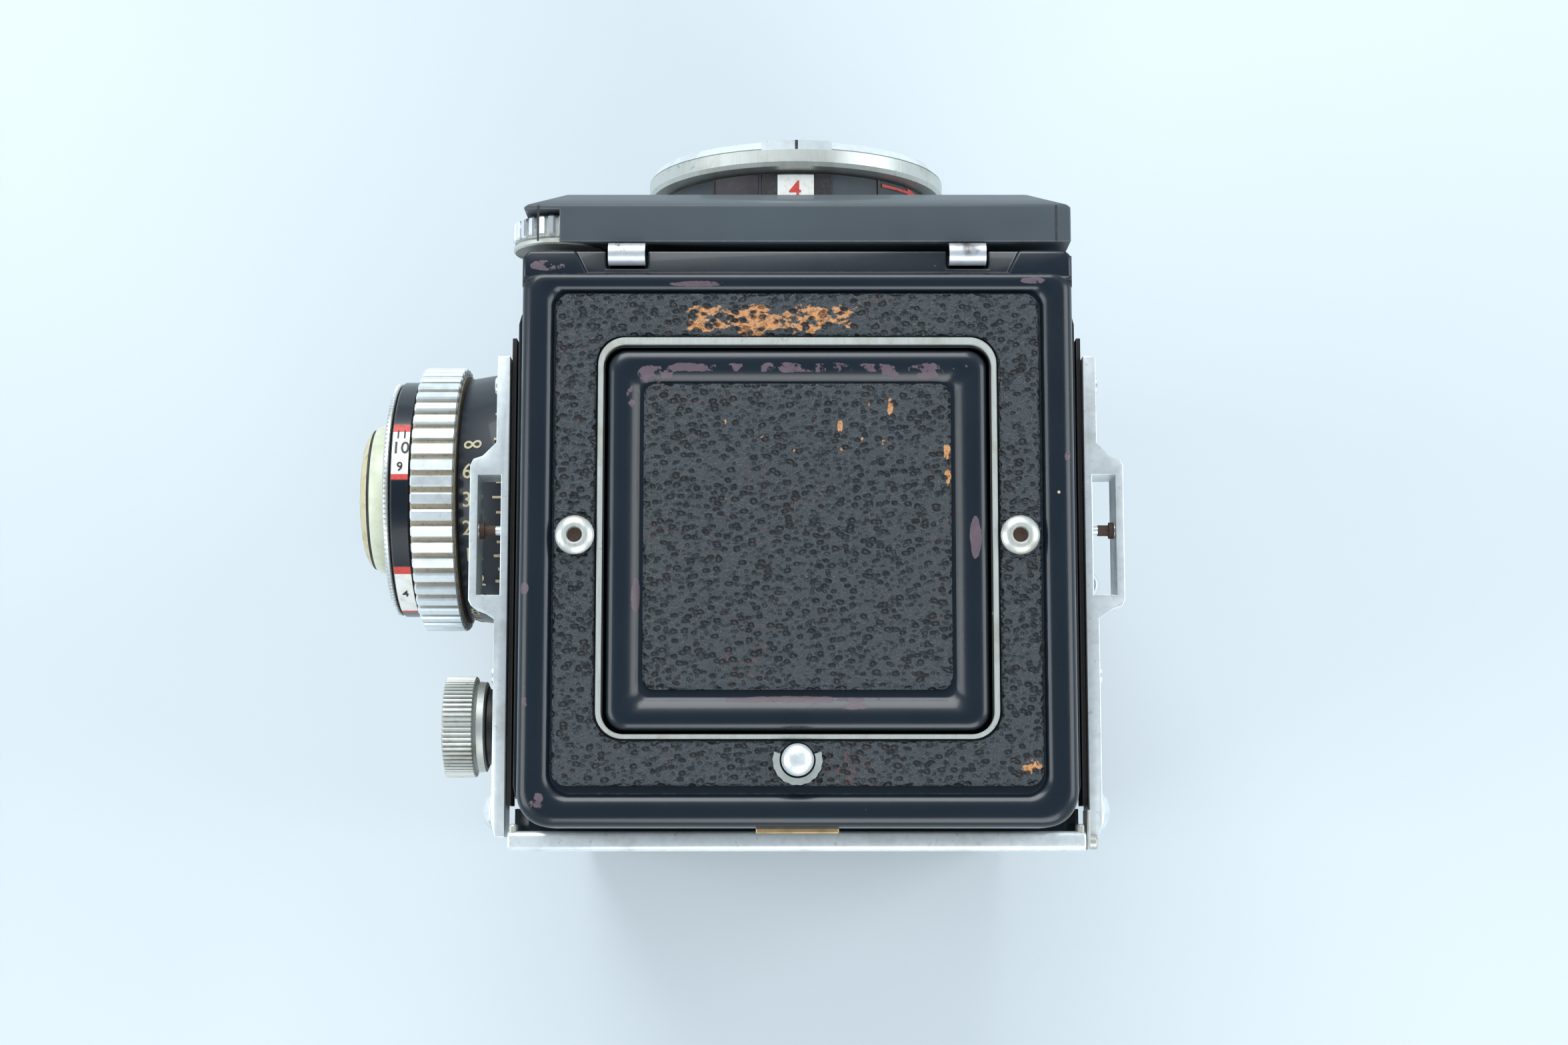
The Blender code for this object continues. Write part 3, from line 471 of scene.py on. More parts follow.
def roundRect(x0, x1, y0, y1, radius, steps=8, low=None, straight=1):
    # a rectangle with round corners, its sides split as often as asked
    low = radius if low is None else low
    corners = [(x1 - radius, y1 - radius, radius, 0), (x0 + radius, y1 - radius, radius, 90),
               (x0 + low, y0 + low, low, 180), (x1 - low, y0 + low, low, 270)]
    points = []
    for cx, cy, r, start in corners:
        points += [(cx + r * math.cos(math.radians(start + 90 * i / steps)),
                    cy + r * math.sin(math.radians(start + 90 * i / steps))) for i in range(steps + 1)]
    if straight == 1:
        return points
    split = []
    for i, (ax, ay) in enumerate(points):
        bx, by = points[(i + 1) % len(points)]
        parts = straight if (i + 1) % (steps + 1) == 0 else 1
        split += [(ax + (bx - ax) * k / parts, ay + (by - ay) * k / parts) for k in range(parts)]
    return split


def cornerOf(radius, by):
    # stays well rounded, as pressed sheet does, where a true offset would come to a point
    return max(radius - by * 0.42, min(radius, 1.4))


def inset(rect, radius, by, steps=8, low=None):
    # the loop of a rounded rectangle moved in by a distance on every side
    x0, x1, y0, y1 = rect
    low = radius if low is None else low
    return roundRect(x0 + by, x1 - by, y0 + by, y1 - by, cornerOf(radius, by), steps, cornerOf(low, by))


def skin(work, loops, wrap=False, caps=False, slot=0):
    # quads between loops of equal length
    rings = [[work.verts.new(p) for p in loop] for loop in loops]
    pairs = list(zip(rings, rings[1:])) + ([(rings[-1], rings[0])] if wrap else [])
    for one, two in pairs:
        for i in range(len(one)):
            j = (i + 1) % len(one)
            work.faces.new((one[i], one[j], two[j], two[i])).material_index = slot
    if caps:
        for ring in (rings[0], rings[-1]):
            work.faces.new(ring).material_index = slot
    return rings


place = {"X": lambda c, r, a, h: (h, c[0] + r * math.sin(a), c[1] + r * math.cos(a)),
         "Y": lambda c, r, a, h: (c[0] + r * math.sin(a), h, c[1] + r * math.cos(a)),
         "Z": lambda c, r, a, h: (c[0] + r * math.sin(a), c[1] + r * math.cos(a), h)}


def turn(work, profile, centre, axis, steps=64, slot=0, closed=None):
    # a profile of (radius, height) turned about an axis; it closes on itself unless an end lies on the axis
    if closed is None:
        closed = profile[0][0] > 0 and profile[-1][0] > 0
    rings = []
    for radius, height in profile:
        ring = []
        for i in range(steps):
            a = 2 * math.pi * i / steps
            ring.append(work.verts.new(place[axis](centre, radius, a, height)))
            if radius == 0:
                break
        rings.append(ring)
    pairs = list(zip(rings, rings[1:])) + ([(rings[-1], rings[0])] if closed else [])
    for one, two in pairs:
        for i in range(steps):
            j = (i + 1) % steps
            corners = [one[i % len(one)], one[j % len(one)], two[j % len(two)], two[i % len(two)]]
            work.faces.new(list(dict.fromkeys(corners))).material_index = slot


def patch(work, centre, axis, low, high, start, end, inner, outer, steps=10, slot=0):
    # a closed strip bent round an axis, from one angle to another in degrees
    section = ((inner, low), (outer, low), (outer, high), (inner, high))
    loops = []
    for i in range(steps + 1):
        a = math.radians(start + (end - start) * i / steps)
        loops.append([place[axis](centre, r, a, h) for r, h in section])
    skin(work, loops, caps=True, slot=slot)


def block(work, x, y, z):
    skin(work, [[(x[0], y[0], h), (x[1], y[0], h), (x[1], y[1], h), (x[0], y[1], h)] for h in z], caps=True)


def turned(name, finish, profile, centre, axis, steps=64, angle=32):
    work = bmesh.new()
    turn(work, profile, centre, axis, steps)
    return asPiece(name, work, finish, angle)


def blocks(name, finish, *boxes):
    work = bmesh.new()
    for x, y, z in boxes:
        block(work, x, y, z)
    return asPiece(name, work, finish)


def bothSides(x0, x1, y, z):      # the same block on the left and on the right
    return [(sorted((side * x0, side * x1)), y, z) for side in (-1, 1)]


def bevelled(made, width, segments=2, angle=35):
    step = made.modifiers.new("edge", "BEVEL")
    step.width, step.segments, step.limit_method = width * mm, segments, "ANGLE"
    step.angle_limit = math.radians(angle)
    step.use_clamp_overlap = True
    return baked(made)


def boolean(made, cutters):
    for cutter in cutters:
        step = made.modifiers.new(cutter.name, "BOOLEAN")
        step.operation, step.object, step.solver = "DIFFERENCE", cutter, "EXACT"
    baked(made)
    for cutter in cutters:
        bpy.data.objects.remove(cutter)
    return made


def plug(name, fill, finish="matt"):
    # a helper solid made by a function that fills a bmesh
    work = bmesh.new()
    fill(work)
    return asPiece(name, work, finish)


def softened(node, name, finish, width, segments=2):
    # a copy of a CAD piece with its doubles merged and its edges rounded, standing for it
    work = bmesh.new()
    work.from_mesh(nodes[node].data)
    bmesh.ops.remove_doubles(work, verts=work.verts, dist=1e-6)
    bmesh.ops.dissolve_limit(work, angle_limit=math.radians(1.0), verts=work.verts, edges=work.edges)
    mesh = bpy.data.meshes.new(name)
    work.to_mesh(mesh)
    work.free()
    mesh.materials.clear()
    mesh.materials.append(finishes[finish])
    made = bevelled(link(name, mesh), width, segments)
    shade(made.data, 30)
    return settle(made, bodyOf[node], slotOf.get(node, "black_paint"), node)


def letters(work, text, size, spot, slot=0, thick=0.06, bold=0.0, align="CENTER"):
    # figures as a thin solid. spot turns a flat point (right, up, out) into its place
    data = bpy.data.curves.new("figures", "FONT")
    data.body, data.size, data.extrude, data.resolution_u = text, size, thick / 2, 3
    data.offset = bold
    data.align_x, data.align_y = align, "CENTER"
    holder = link("figures", data)
    bpy.context.view_layer.update()
    mesh = bpy.data.meshes.new_from_object(holder.evaluated_get(bpy.context.evaluated_depsgraph_get()))
    base = len(work.verts)
    faces = len(work.faces)
    work.from_mesh(mesh)
    work.verts.ensure_lookup_table()
    work.faces.ensure_lookup_table()
    for vert in work.verts[base:]:
        vert.co = spot(vert.co.x, vert.co.y, vert.co.z)
    for face in work.faces[faces:]:
        face.material_index = slot
    bpy.data.objects.remove(holder)
    bpy.data.meshes.remove(mesh)


# geometry node trees

def newTree(name, sockets):
    tree = bpy.data.node_groups.new(name, "GeometryNodeTree")
    tree.interface.new_socket("Geometry", in_out="INPUT", socket_type="NodeSocketGeometry")
    for label, kind in sockets.items():
        tree.interface.new_socket(label, in_out="INPUT", socket_type="NodeSocket" + kind)
    tree.interface.new_socket("Geometry", in_out="OUTPUT", socket_type="NodeSocketGeometry")
    return tree, tree.nodes.new("NodeGroupInput"), tree.nodes.new("NodeGroupOutput")


def treeNode(tree, kind, settings=None, sockets=None):
    made = tree.nodes.new(kind)
    for key, value in (settings or {}).items():
        setattr(made, key, value)
    for key, value in (sockets or {}).items():
        if isinstance(value, bpy.types.NodeSocket):
            tree.links.new(value, made.inputs[key])
        else:
            made.inputs[key].default_value = value
    return made


def treeMaths(tree, operation, one, other):
    return treeNode(tree, "ShaderNodeMath", {"operation": operation}, {0: one, 1: other}).outputs[0]


def finishTree(tree, given, out, instances):
    real = treeNode(tree, "GeometryNodeRealizeInstances", sockets={"Geometry": instances})
    painted = treeNode(tree, "GeometryNodeSetMaterial", sockets={"Geometry": real.outputs[0],
                                                                 "Material": given.outputs["Finish"]})
    tree.links.new(painted.outputs[0], out.inputs[0])


def ringTree():
    # a part repeated round the Z axis
    tree, given, out = newTree("repeatRound", {"Part": "Object", "Count": "Int", "Radius": "Float",
                                               "Finish": "Material"})
    circle = treeNode(tree, "GeometryNodeMeshCircle", sockets={"Vertices": given.outputs["Count"],
                                                               "Radius": given.outputs["Radius"]})
    index = treeNode(tree, "GeometryNodeInputIndex")
    share = treeMaths(tree, "DIVIDE", index.outputs[0], given.outputs["Count"])
    euler = treeNode(tree, "ShaderNodeCombineXYZ", sockets={"Z": treeMaths(tree, "MULTIPLY", share, 2 * math.pi)})
    part = treeNode(tree, "GeometryNodeObjectInfo", sockets={"Object": given.outputs["Part"]})
    made = treeNode(tree, "GeometryNodeInstanceOnPoints",
                    sockets={"Points": circle.outputs[0], "Instance": part.outputs["Geometry"],
                             "Rotation": euler.outputs[0]})
    finishTree(tree, given, out, made.outputs[0])
    return tree


def pointTree():
    # a part at every point of the mesh, turned by the point's own attribute
    tree, given, out = newTree("repeatAtPoints", {"Part": "Object", "Scale": "Float", "Finish": "Material"})
    lean = treeNode(tree, "GeometryNodeInputNamedAttribute", {"data_type": "FLOAT_VECTOR"},
                    {"Name": "turned"})
    part = treeNode(tree, "GeometryNodeObjectInfo", sockets={"Object": given.outputs["Part"]})
    made = treeNode(tree, "GeometryNodeInstanceOnPoints",
                    sockets={"Points": given.outputs["Geometry"], "Instance": part.outputs["Geometry"],
                             "Rotation": lean.outputs[0], "Scale": given.outputs["Scale"]})
    finishTree(tree, given, out, made.outputs[0])
    return tree


def lensletTree():
    # rows of small lenses, every second row moved half a step along
    tree, given, out = newTree("honeycomb", {"Part": "Object", "Columns": "Int", "Rows": "Int",
                                             "Pitch": "Float", "Finish": "Material"})
    columns, rows, pitch = (given.outputs[label] for label in ("Columns", "Rows", "Pitch"))
    squat = treeMaths(tree, "MULTIPLY", treeMaths(tree, "MULTIPLY", rows, pitch), 0.866)
    grid = treeNode(tree, "GeometryNodeMeshGrid", sockets={"Size X": treeMaths(tree, "MULTIPLY", columns, pitch),
                                                           "Size Y": squat, "Vertices X": columns,
                                                           "Vertices Y": rows})
    index = treeNode(tree, "GeometryNodeInputIndex")
    odd = treeMaths(tree, "MODULO", treeMaths(tree, "MODULO", index.outputs[0], rows), 2.0)
    half = treeMaths(tree, "MULTIPLY", treeMaths(tree, "MULTIPLY", odd, pitch), 0.5)
    offset = treeNode(tree, "ShaderNodeCombineXYZ", sockets={"X": half})
    moved = treeNode(tree, "GeometryNodeSetPosition", sockets={"Geometry": grid.outputs[0],
                                                               "Offset": offset.outputs[0]})
    part = treeNode(tree, "GeometryNodeObjectInfo", sockets={"Object": given.outputs["Part"]})
    made = treeNode(tree, "GeometryNodeInstanceOnPoints", sockets={"Points": moved.outputs[0],
                                                                   "Instance": part.outputs["Geometry"]})
    finishTree(tree, given, out, made.outputs[0])
    return tree


trees = {"ring": ringTree(), "points": pointTree(), "lenslets": lensletTree()}


def grown(name, tree, values, base=None, moved=None):
    # the tree's result as a plain mesh object, moved by a matrix where one is given
    made = link(name, base or bpy.data.meshes.new(name))
    step = made.modifiers.new("grow", "NODES")
    step.node_group = trees[tree]
    for item in trees[tree].interface.items_tree:
        if item.item_type == "SOCKET" and item.in_out == "INPUT" and item.name in values:
            step[item.identifier] = values[item.name]
    baked(made)
    if moved:
        made.data.transform(moved)
    shade(made.data, 30)
    return made


def merged(name, *pieces):
    # several objects as one, keeping each face's finish
    first = pieces[0]
    with bpy.context.temp_override(active_object=first, object=first, selected_objects=pieces,
                                   selected_editable_objects=pieces):
        bpy.ops.object.join()
    first.name = first.data.name = name
    return first


def axisTurn(axis, centre, along):
    # takes a ring made round Z to a place on the X or Y axis
    if axis == "X":
        return Matrix.Translation(Vector((along, *centre)) * mm) @ Matrix.Rotation(math.pi / 2, 4, "Y")
    middle = Vector((centre[0], along, centre[1])) * mm
    return Matrix.Translation(middle) @ Matrix.Rotation(-math.pi / 2, 4, "X")


def tooth(wide, deep, long, chamfer):
    # one rib with its outer edges taken off, standing out along X and lying along Z
    work = bmesh.new()
    half = wide / 2
    outline = [(-deep, -half), (-chamfer, -half), (0, -half + chamfer), (0, half - chamfer), (-chamfer, half),
               (-deep, half)]
    small = [(x * 0.75 - deep * 0.25, y * 0.8) for x, y in outline]
    end = long / 2
    levels = ((small, -end), (outline, -end + chamfer), (outline, end - chamfer), (small, end))
    skin(work, [[(x, y, h) for x, y in line] for line, h in levels], caps=True)
    return asPiece("rib", work, "nickel", 25)


def ribbed(name, axis, centre, along, radius, count, rib, finish):
    # a knurled band: ribs round an axis
    part = tooth(*rib)
    made = grown(name, "ring", {"Part": part, "Count": count, "Radius": radius * mm,
                                "Finish": finishes[finish]}, moved=axisTurn(axis, centre, along))
    bpy.data.objects.remove(part)
    return made


def screw(size):
    # a slotted cheese-head screw standing on Z
    work = bmesh.new()
    head = [(0, 0), (size, 0), (size, size * 0.30), (size * 0.84, size * 0.46), (0, size * 0.50)]
    turn(work, head, (0, 0), "Z", 20)
    made = asPiece("screw", work, "nickelWorn", 30)
    long, wide = size * 1.2, size * 0.13
    slit = plug("slit", lambda w: block(w, (-long, long), (-wide, wide), (size * 0.24, size)))
    return boolean(made, [slit])


def screws(name, body, size, places, finish="nickelWorn", slot="worn_nickel"):
    # screws at (x, y, z, direction, turn of the slot)
    faces = {"+X": Vector((1, 0, 0)), "-X": Vector((-1, 0, 0)), "-Y": Vector((0, -1, 0)), "+Z": Vector((0, 0, 1))}
    mesh = bpy.data.meshes.new(name)
    mesh.from_pydata([Vector(p[:3]) * mm for p in places], [], [])
    spin = mesh.attributes.new("turned", "FLOAT_VECTOR", "POINT")
    for i, (_, _, _, way, angle) in enumerate(places):
        lean = faces[way].to_track_quat("Z", "Y").to_matrix() @ Matrix.Rotation(math.radians(angle), 3, "Z")
        spin.data[i].vector = lean.to_euler()
    part = screw(size)
    made = grown(name, "points", {"Part": part, "Scale": 1.0, "Finish": finishes[finish]}, base=mesh)
    bpy.data.objects.remove(part)
    return settle(made, body, slot)


makeCamera()
makeLight()
floorWork = bmesh.new()
floorHalf = 3000
floorCorners = [(-floorHalf, -floorHalf), (floorHalf, -floorHalf), (floorHalf, floorHalf), (-floorHalf, floorHalf)]
floorWork.faces.new([floorWork.verts.new((x, y, 0)) for x, y in floorCorners])
floor = asPiece("floor", floorWork, "white", outward=False)
paper = Finish("floorPaper", {"Specular IOR Level": 0.2})
fibre = paper.noise(40, 2.0)
paper.set({"Base Color": paper.mixed(fibre, (0.50, 0.555, 0.59), (0.515, 0.57, 0.60)),
           "Roughness": 0.85 + fibre * 0.1})
floor.data.materials.clear()
floor.data.materials.append(paper.material)
print("stage set")


# hood lid

lidShape = {
    "rim": (-34.3, 34.3, -34.9, 34.1), "rearRadius": 4.2, "frontRadius": 2.2,
    # distance in from the edge, and height, over the rounded rim and down to the leather
    "profile": [(0, 136.8), (0, 143.7), (0.16, 144.2), (0.5, 144.66), (0.95, 144.92), (1.4, 145.0), (2.2, 145.0),
                (3.0, 144.93), (3.5, 144.72), (3.8, 144.42), (3.95, 144.1), (4.05, 144.0)],
    "opening": (-23.9, 23.9, -25.3, 22.8), "openingRadius": 2.4, "underside": 142.9, "wall": 1.2,
    "flangeTop": 143.95, "earTop": 144.75, "earInner": (27.6, 25.8), "frontEdge": -37.6,
    "hingeRoom": (18.7, 23.9, -35.4),
}


def makeLid():
    s = lidShape
    work = bmesh.new()
    steps = 10
    loops = [[(x, y, z) for x, y in inset(s["rim"], s["rearRadius"], d, steps, s["frontRadius"])]
             for d, z in s["profile"]]
    # the front of the rim is narrower than its sides
    for loop, (d, z) in zip(loops, s["profile"]):
        for i, (x, y, h) in enumerate(loop):
            if y < -28:
                loop[i] = (x, y - d * 0.34 * min(1, (-28 - y) / 3), h)
    opening = roundRect(*s["opening"], s["openingRadius"], steps)
    loops += [[(x, y, z) for x, y in opening] for z in (143.98, s["underside"])]
    for z in (s["underside"], 136.8):
        loops.append([(x, y, z) for x, y in inset(s["rim"], 4.0, s["wall"], steps, s["frontRadius"])])
    skin(work, loops, wrap=True)
    lid = asPiece("lidShell", work, "enamelLid", 40)

    bore = [(0, 140), (1.5, 140), (1.5, 150), (0, 150)]
    boolean(lid, [plug("mouth", lambda w: block(w, (-33.1, 33.1), (-40, -33.4), (130, s["underside"]))),
                  plug("buttonHole", lambda w: turn(w, bore, lidButtonAxis, "Z", 20))])

    def flange(w):
        # the front strip leaves room for both hinge knuckles
        front = s["frontEdge"]
        near, far, deep = s["hingeRoom"]
        half = [(near, front), (near, deep), (far, deep), (far, front), (33.4, front), (34.3, front + 0.9),
                (34.3, -33.4)]
        outline = half + [(-x, y) for x, y in half[::-1]]
        skin(w, [[(x, y, z) for x, y in outline] for z in (s["underside"], s["flangeTop"])], caps=True)

    def ear(side):
        def fill(w):
            wide, narrow = s["earInner"]
            front = s["frontEdge"]
            outline = [(wide, front), (33.5, front), (34.3, front + 0.8), (34.3, -33.9), (narrow, -33.9)]
            levels = (s["underside"] + 0.3, s["earTop"])
            skin(w, [[(side * x, y, z) for x, y in outline] for z in levels], caps=True)
        return bevelled(plug(f"ear{side}", fill, "enamelLid"), 0.5, 4, 40)

    def cheek(side):
        wall = sorted((side * 33.1, side * 34.3))
        return plug(f"cheek{side}", lambda w: block(w, wall, (-36.9, -33.0), (136.8, 144.3)), "enamelLid")

    def lug(side):
        outline = [(23.1, 136.9), (25.9, 136.9), (26.9, 143.2), (23.7, 143.2)]
        loops = [[(side * x, y, z) for y, z in outline] for x in (6.4, 7.6)]
        return plug(f"lug{side}", lambda w: skin(w, loops, caps=True), "enamelLid")

    parts = [bevelled(plug("flange", flange, "enamelLid"), 0.25, 2, 40)]
    parts += [make(side) for make in (ear, cheek, lug) for side in (-1, 1)]
    lid = merged("lidShell", lid, *parts)
    shade(lid.data, 35)
    settle(lid, "hood_lid", "black_paint", "hood_lid")


flapShape = {
    "edge": (-23.5, 23.5, -24.9, 22.4), "radius": 2.4,
    "profile": [(0, 143.0), (0, 144.1), (0.12, 144.45), (0.4, 144.75), (0.85, 144.94), (1.4, 145.0), (2.0, 144.96),
                (2.7, 144.82), (3.3, 144.58), (3.7, 144.34), (3.95, 144.14), (4.25, 144.1)],
}


def makeFlap():
    s = flapShape
    work = bmesh.new()
    loops = [[(x, y, z) for x, y in inset(s["edge"], s["radius"], d, 10)] for d, z in s["profile"]]
    skin(work, loops, caps=True)
    settle(asPiece("flapShell", work, "enamelFlap", 40), "finder_flap", "black_paint", "finder_flap")


# leather with real grain

grain = {"fold": 0.09, "size": 1.5, "spacing": 0.42}
bareSpots = {
    # middle x, y, half width along x and y, strength
    "lid": [(11.0, -28.9, 3.6, 2.2, 0.95), (5.0, -28.6, 3.6, 2.3, 1.0), (-1.0, -28.9, 3.4, 2.2, 1.0),
            (-6.0, -29.2, 2.6, 2.2, 0.9), (-28.6, 26.8, 1.5, 0.8, 1.2), (29.5, -4.0, 0.5, 1.2, 0.9)],
    "flap": [(8.9, -15.8, 0.42, 0.42, 1.15), (-5.3, -15.2, 0.35, 1.1, 1.1), (-5.6, -12.4, 0.5, 0.6, 1.1),
             (-11.5, -17.7, 0.4, 1.1, 1.15), (-10.6, -13.2, 0.5, 0.4, 1.1), (-8.0, -13.4, 0.35, 0.45, 1.1),
             (-18.5, -11.8, 0.45, 1.1, 1.3), (-18.6, -8.9, 0.4, 1.0, 1.3), (-2.0, -16.4, 0.3, 0.3, 1.1),
             (0.4, -12.2, 0.35, 0.3, 1.1), (4.4, -13.9, 0.25, 0.3, 1.1), (-9.0, -18.2, 0.3, 0.6, 1.1),
             (9.0, -6.2, 0.25, 0.25, 1.1)],
}


def grainAt(x, y):
    size = grain["size"]
    large, small = noise.noise(Vector((x / size, y / size, 9.0))), noise.noise(Vector((x, y, 5.0)))
    return grain["fold"] * (large + 0.4 * small)


def carve(piece, spots):
    # writes how bare each point of a leather sheet is
    bare = piece.data.attributes.new("bare", "FLOAT", "POINT")
    for i, vert in enumerate(piece.data.vertices):
        x, y = vert.co.x / mm, vert.co.y / mm
        shares = [strength * min(1.0, max(0.0, 1.7 - math.hypot((x - cx) / wide, (y - cy) / tall)))
                  for cx, cy, wide, tall, strength in spots]
        bare.data[i].value = max(shares)


def makeLidLeather():
    low, top = 144.3, 144.86
    outer = roundRect(-30, 30, -32, 29.1, 1.8, 6, straight=150)
    inner = roundRect(-24.95, 24.95, -26.65, 23.65, 3.4, 6, straight=150)
    rows = 15
    loops = [[(x, y, low) for x, y in outer]]
    for k in range(rows + 1):
        share = k / rows
        loop = []
        for (ax, ay), (bx, by) in zip(outer, inner):
            x, y = ax + (bx - ax) * share, ay + (by - ay) * share
            edge = min(k, rows - k)
            lift = grainAt(x, y)
            loop.append((x, y, top + lift if edge else top - 0.22))
        loops.append(loop)
    loops.append([(x, y, low) for x, y in inner])
    work = bmesh.new()
    skin(work, loops, wrap=True)
    piece = asPiece("lidLeather", work, "leatherWorn", 60)
    bore = [(0, 143), (2.2, 143), (2.2, 146), (0, 146)]
    hole = plug("leatherHole", lambda w: turn(w, bore, lidButtonAxis, "Z", 24))
    boolean(piece, [hole])
    carve(piece, bareSpots["lid"])
    settle(piece, "hood_lid", "leather", "lid_leather")


def makeFlapLeather():
    x0, x1, y0, y1, low, top, radius = -19.0, 19.0, -20.6, 17.4, 144.4, 144.88, 1.5
    count = int((x1 - x0) / grain["spacing"])
    work = bmesh.new()
    grid = []
    for j in range(count + 1):
        row = []
        for i in range(count + 1):
            x, y = x0 + (x1 - x0) * i / count, y0 + (y1 - y0) * j / count
            cx, cy = min(max(x, x0 + radius), x1 - radius), min(max(y, y0 + radius), y1 - radius)
            away = math.hypot(x - cx, y - cy)
            if away > radius:
                x, y = cx + (x - cx) * radius / away, cy + (y - cy) * radius / away
            border = i in (0, count) or j in (0, count) or away > radius
            row.append(work.verts.new((x, y, top - 0.22 if border else top + grainAt(x, y))))
        grid.append(row)
    for j in range(count):
        for i in range(count):
            work.faces.new((grid[j][i], grid[j][i + 1], grid[j + 1][i + 1], grid[j + 1][i]))
    bmesh.ops.remove_doubles(work, verts=work.verts, dist=0.004)
    rim = [edge for edge in work.edges if edge.is_boundary]
    wall = bmesh.ops.extrude_edge_only(work, edges=rim)["geom"]
    for vert in [g for g in wall if isinstance(g, bmesh.types.BMVert)]:
        vert.co.z = low
    bmesh.ops.holes_fill(work, edges=[edge for edge in work.edges if edge.is_boundary], sides=0)
    piece = asPiece("flapLeather", work, "leatherWorn", 60)
    carve(piece, bareSpots["flap"])
    settle(piece, "finder_flap", "leather", "flap_leather")


# lid trim

def makeLidTrim():
    work = bmesh.new()

    def outer(d, z):
        return [(x, y, z) for x, y in inset((-24.7, 24.7, -26.4, 23.4), 3.4, d, 12)]

    def inner(d, z):
        return [(x, y, z) for x, y in inset((-24.05 - d, 24.05 + d, -25.5 - d, 22.85 + d), 2.8 + d, 0, 12)]

    skin(work, [outer(0, 144.3), outer(0, 144.98), outer(0.1, 145.1), inner(0.12, 145.1), inner(0, 144.95),
                inner(0, 144.3)], wrap=True)
    settle(asPiece("finderFrame", work, "nickel"), "hood_lid", "satin_nickel", "finder_frame")
    # hollow rivets on a washer
    for side, label in ((1, "Left"), (-1, "Right")):
        work = bmesh.new()
        centre = (side * 27.4, -1.6)
        turn(work, [(0.92, 145.2), (2.3, 145.2), (2.42, 145.4), (2.3, 145.62), (2.05, 145.8), (1.75, 146.02),
                    (1.3, 146.1), (1.0, 146.04), (0.92, 145.8)], centre, "Z", 40)
        turn(work, [(0, 145.15), (0.9, 145.15), (0.9, 145.3), (0, 145.22)], centre, "Z", 24, slot=1)
        settle(asPiece(f"lidRivet{label}", work, ["nickel", "rust"]), "hood_lid", "satin_nickel",
               f"lid_rivet_{label.lower()}")
    # a D-shaped plate with a nibbled edge, open where the button stands
    cx, cy = lidButtonAxis
    count = 44
    outline = []
    for i in range(count + 1):
        a = math.radians(-20 + 220 * i / count)
        r = 3.05 - 0.07 * (i % 4 in (1, 2))
        outline.append((cx + r * math.cos(a), cy + r * math.sin(a)))
    for i in range(23):
        a = math.radians(200 - 10 * i)
        outline.append((cx + 2.2 * math.cos(a), cy + 2.2 * math.sin(a)))
    work = bmesh.new()
    skin(work, [[(x, y, z) for x, y in outline] for z in (145.2, 145.52)], caps=True)
    settle(asPiece("buttonPlate", work, "zinc"), "hood_lid", "worn_nickel", "button_plate")
    profile = [(0, 140.9), (1.2, 140.9), (1.2, 145.6), (1.95, 145.6), (1.98, 146.5), (1.85, 146.95), (1.5, 147.3),
               (0.9, 147.52), (0, 147.6)]
    button = turned("lidButton", "chromeSoft", profile, lidButtonAxis, "Z", 40)
    settle(button, "lid_button", "chrome", "lid_button")
    # thumb catch on the rear edge
    catch = blocks("lidCatch", "brass", ((-5.05, 5.1), (34.15, 34.85), (142.6, 143.7)))
    settle(bevelled(catch, 0.15), "hood_lid", "worn_nickel")
    # hinge barrels over the knuckles
    work = bmesh.new()
    hingeY, hingeZ = lidHingeAxis
    for x in (-21.3, 21.3):
        loops = []
        for i in range(13):
            a = math.radians(-35 + 230 * i / 12)
            loops.append([(x + h, hingeY + r * math.cos(a), hingeZ + r * math.sin(a))
                          for h, r in ((-2.3, 1.22), (-2.3, 1.42), (2.3, 1.42), (2.3, 1.22))])
        skin(work, loops, caps=True)
    settle(asPiece("hingeBarrels", work, "tab"), "camera_body", "worn_nickel")


makeLid()
makeFlap()
print("lid and flap shaped")
makeLidLeather()
makeFlapLeather()
makeLidTrim()
print("leather carved, trim on")


# light cell

cellSize = {"columns": 21, "rows": 3, "pitch": 2.3, "middle": (0.0, 133.6), "face": -46.4}


def makeCell():
    softened("cell_housing", "cellHousing", "enamelPlate", 0.22)
    # a dome of two rings for each lenslet
    work = bmesh.new()
    r = cellSize["pitch"] / 2
    rings = [[(r * k * math.cos(math.radians(60 * i + 30)), r * k * math.sin(math.radians(60 * i + 30)), h)
              for i in range(6)] for k, h in ((1.14, -0.2), (1.14, 0.0), (0.75, 0.20))]
    skin(work, rings, caps=True)
    lens = asPiece("lenslet", work, "cell", 60)
    s = cellSize
    lift = Matrix.Translation(Vector((s["middle"][0] - s["pitch"] / 4, s["face"] + 0.18, s["middle"][1])) * mm)
    sizes = {"Part": lens, "Columns": s["columns"], "Rows": s["rows"], "Pitch": s["pitch"] * mm,
             "Finish": finishes["cell"]}
    domes = grown("cellLenslets", "lenslets", sizes, moved=lift @ Matrix.Rotation(math.pi / 2, 4, "X"))
    bpy.data.objects.remove(lens)
    settle(domes, "camera_body", "ground_glass")
    pane = blocks("cellPane", "cell", ((-25.2, 25.2), (-46.2, -45.9), (130.9, 136.3)))
    settle(pane, "camera_body", "ground_glass", "cell_window")
    # dark seams where the end caps meet the nameplate
    seams = blocks("nameplateSeams", "ink", *bothSides(32.35, 32.6, (-43.5, -38.9), (143.9, 144.03)))
    settle(seams, "camera_body", "black_paint")


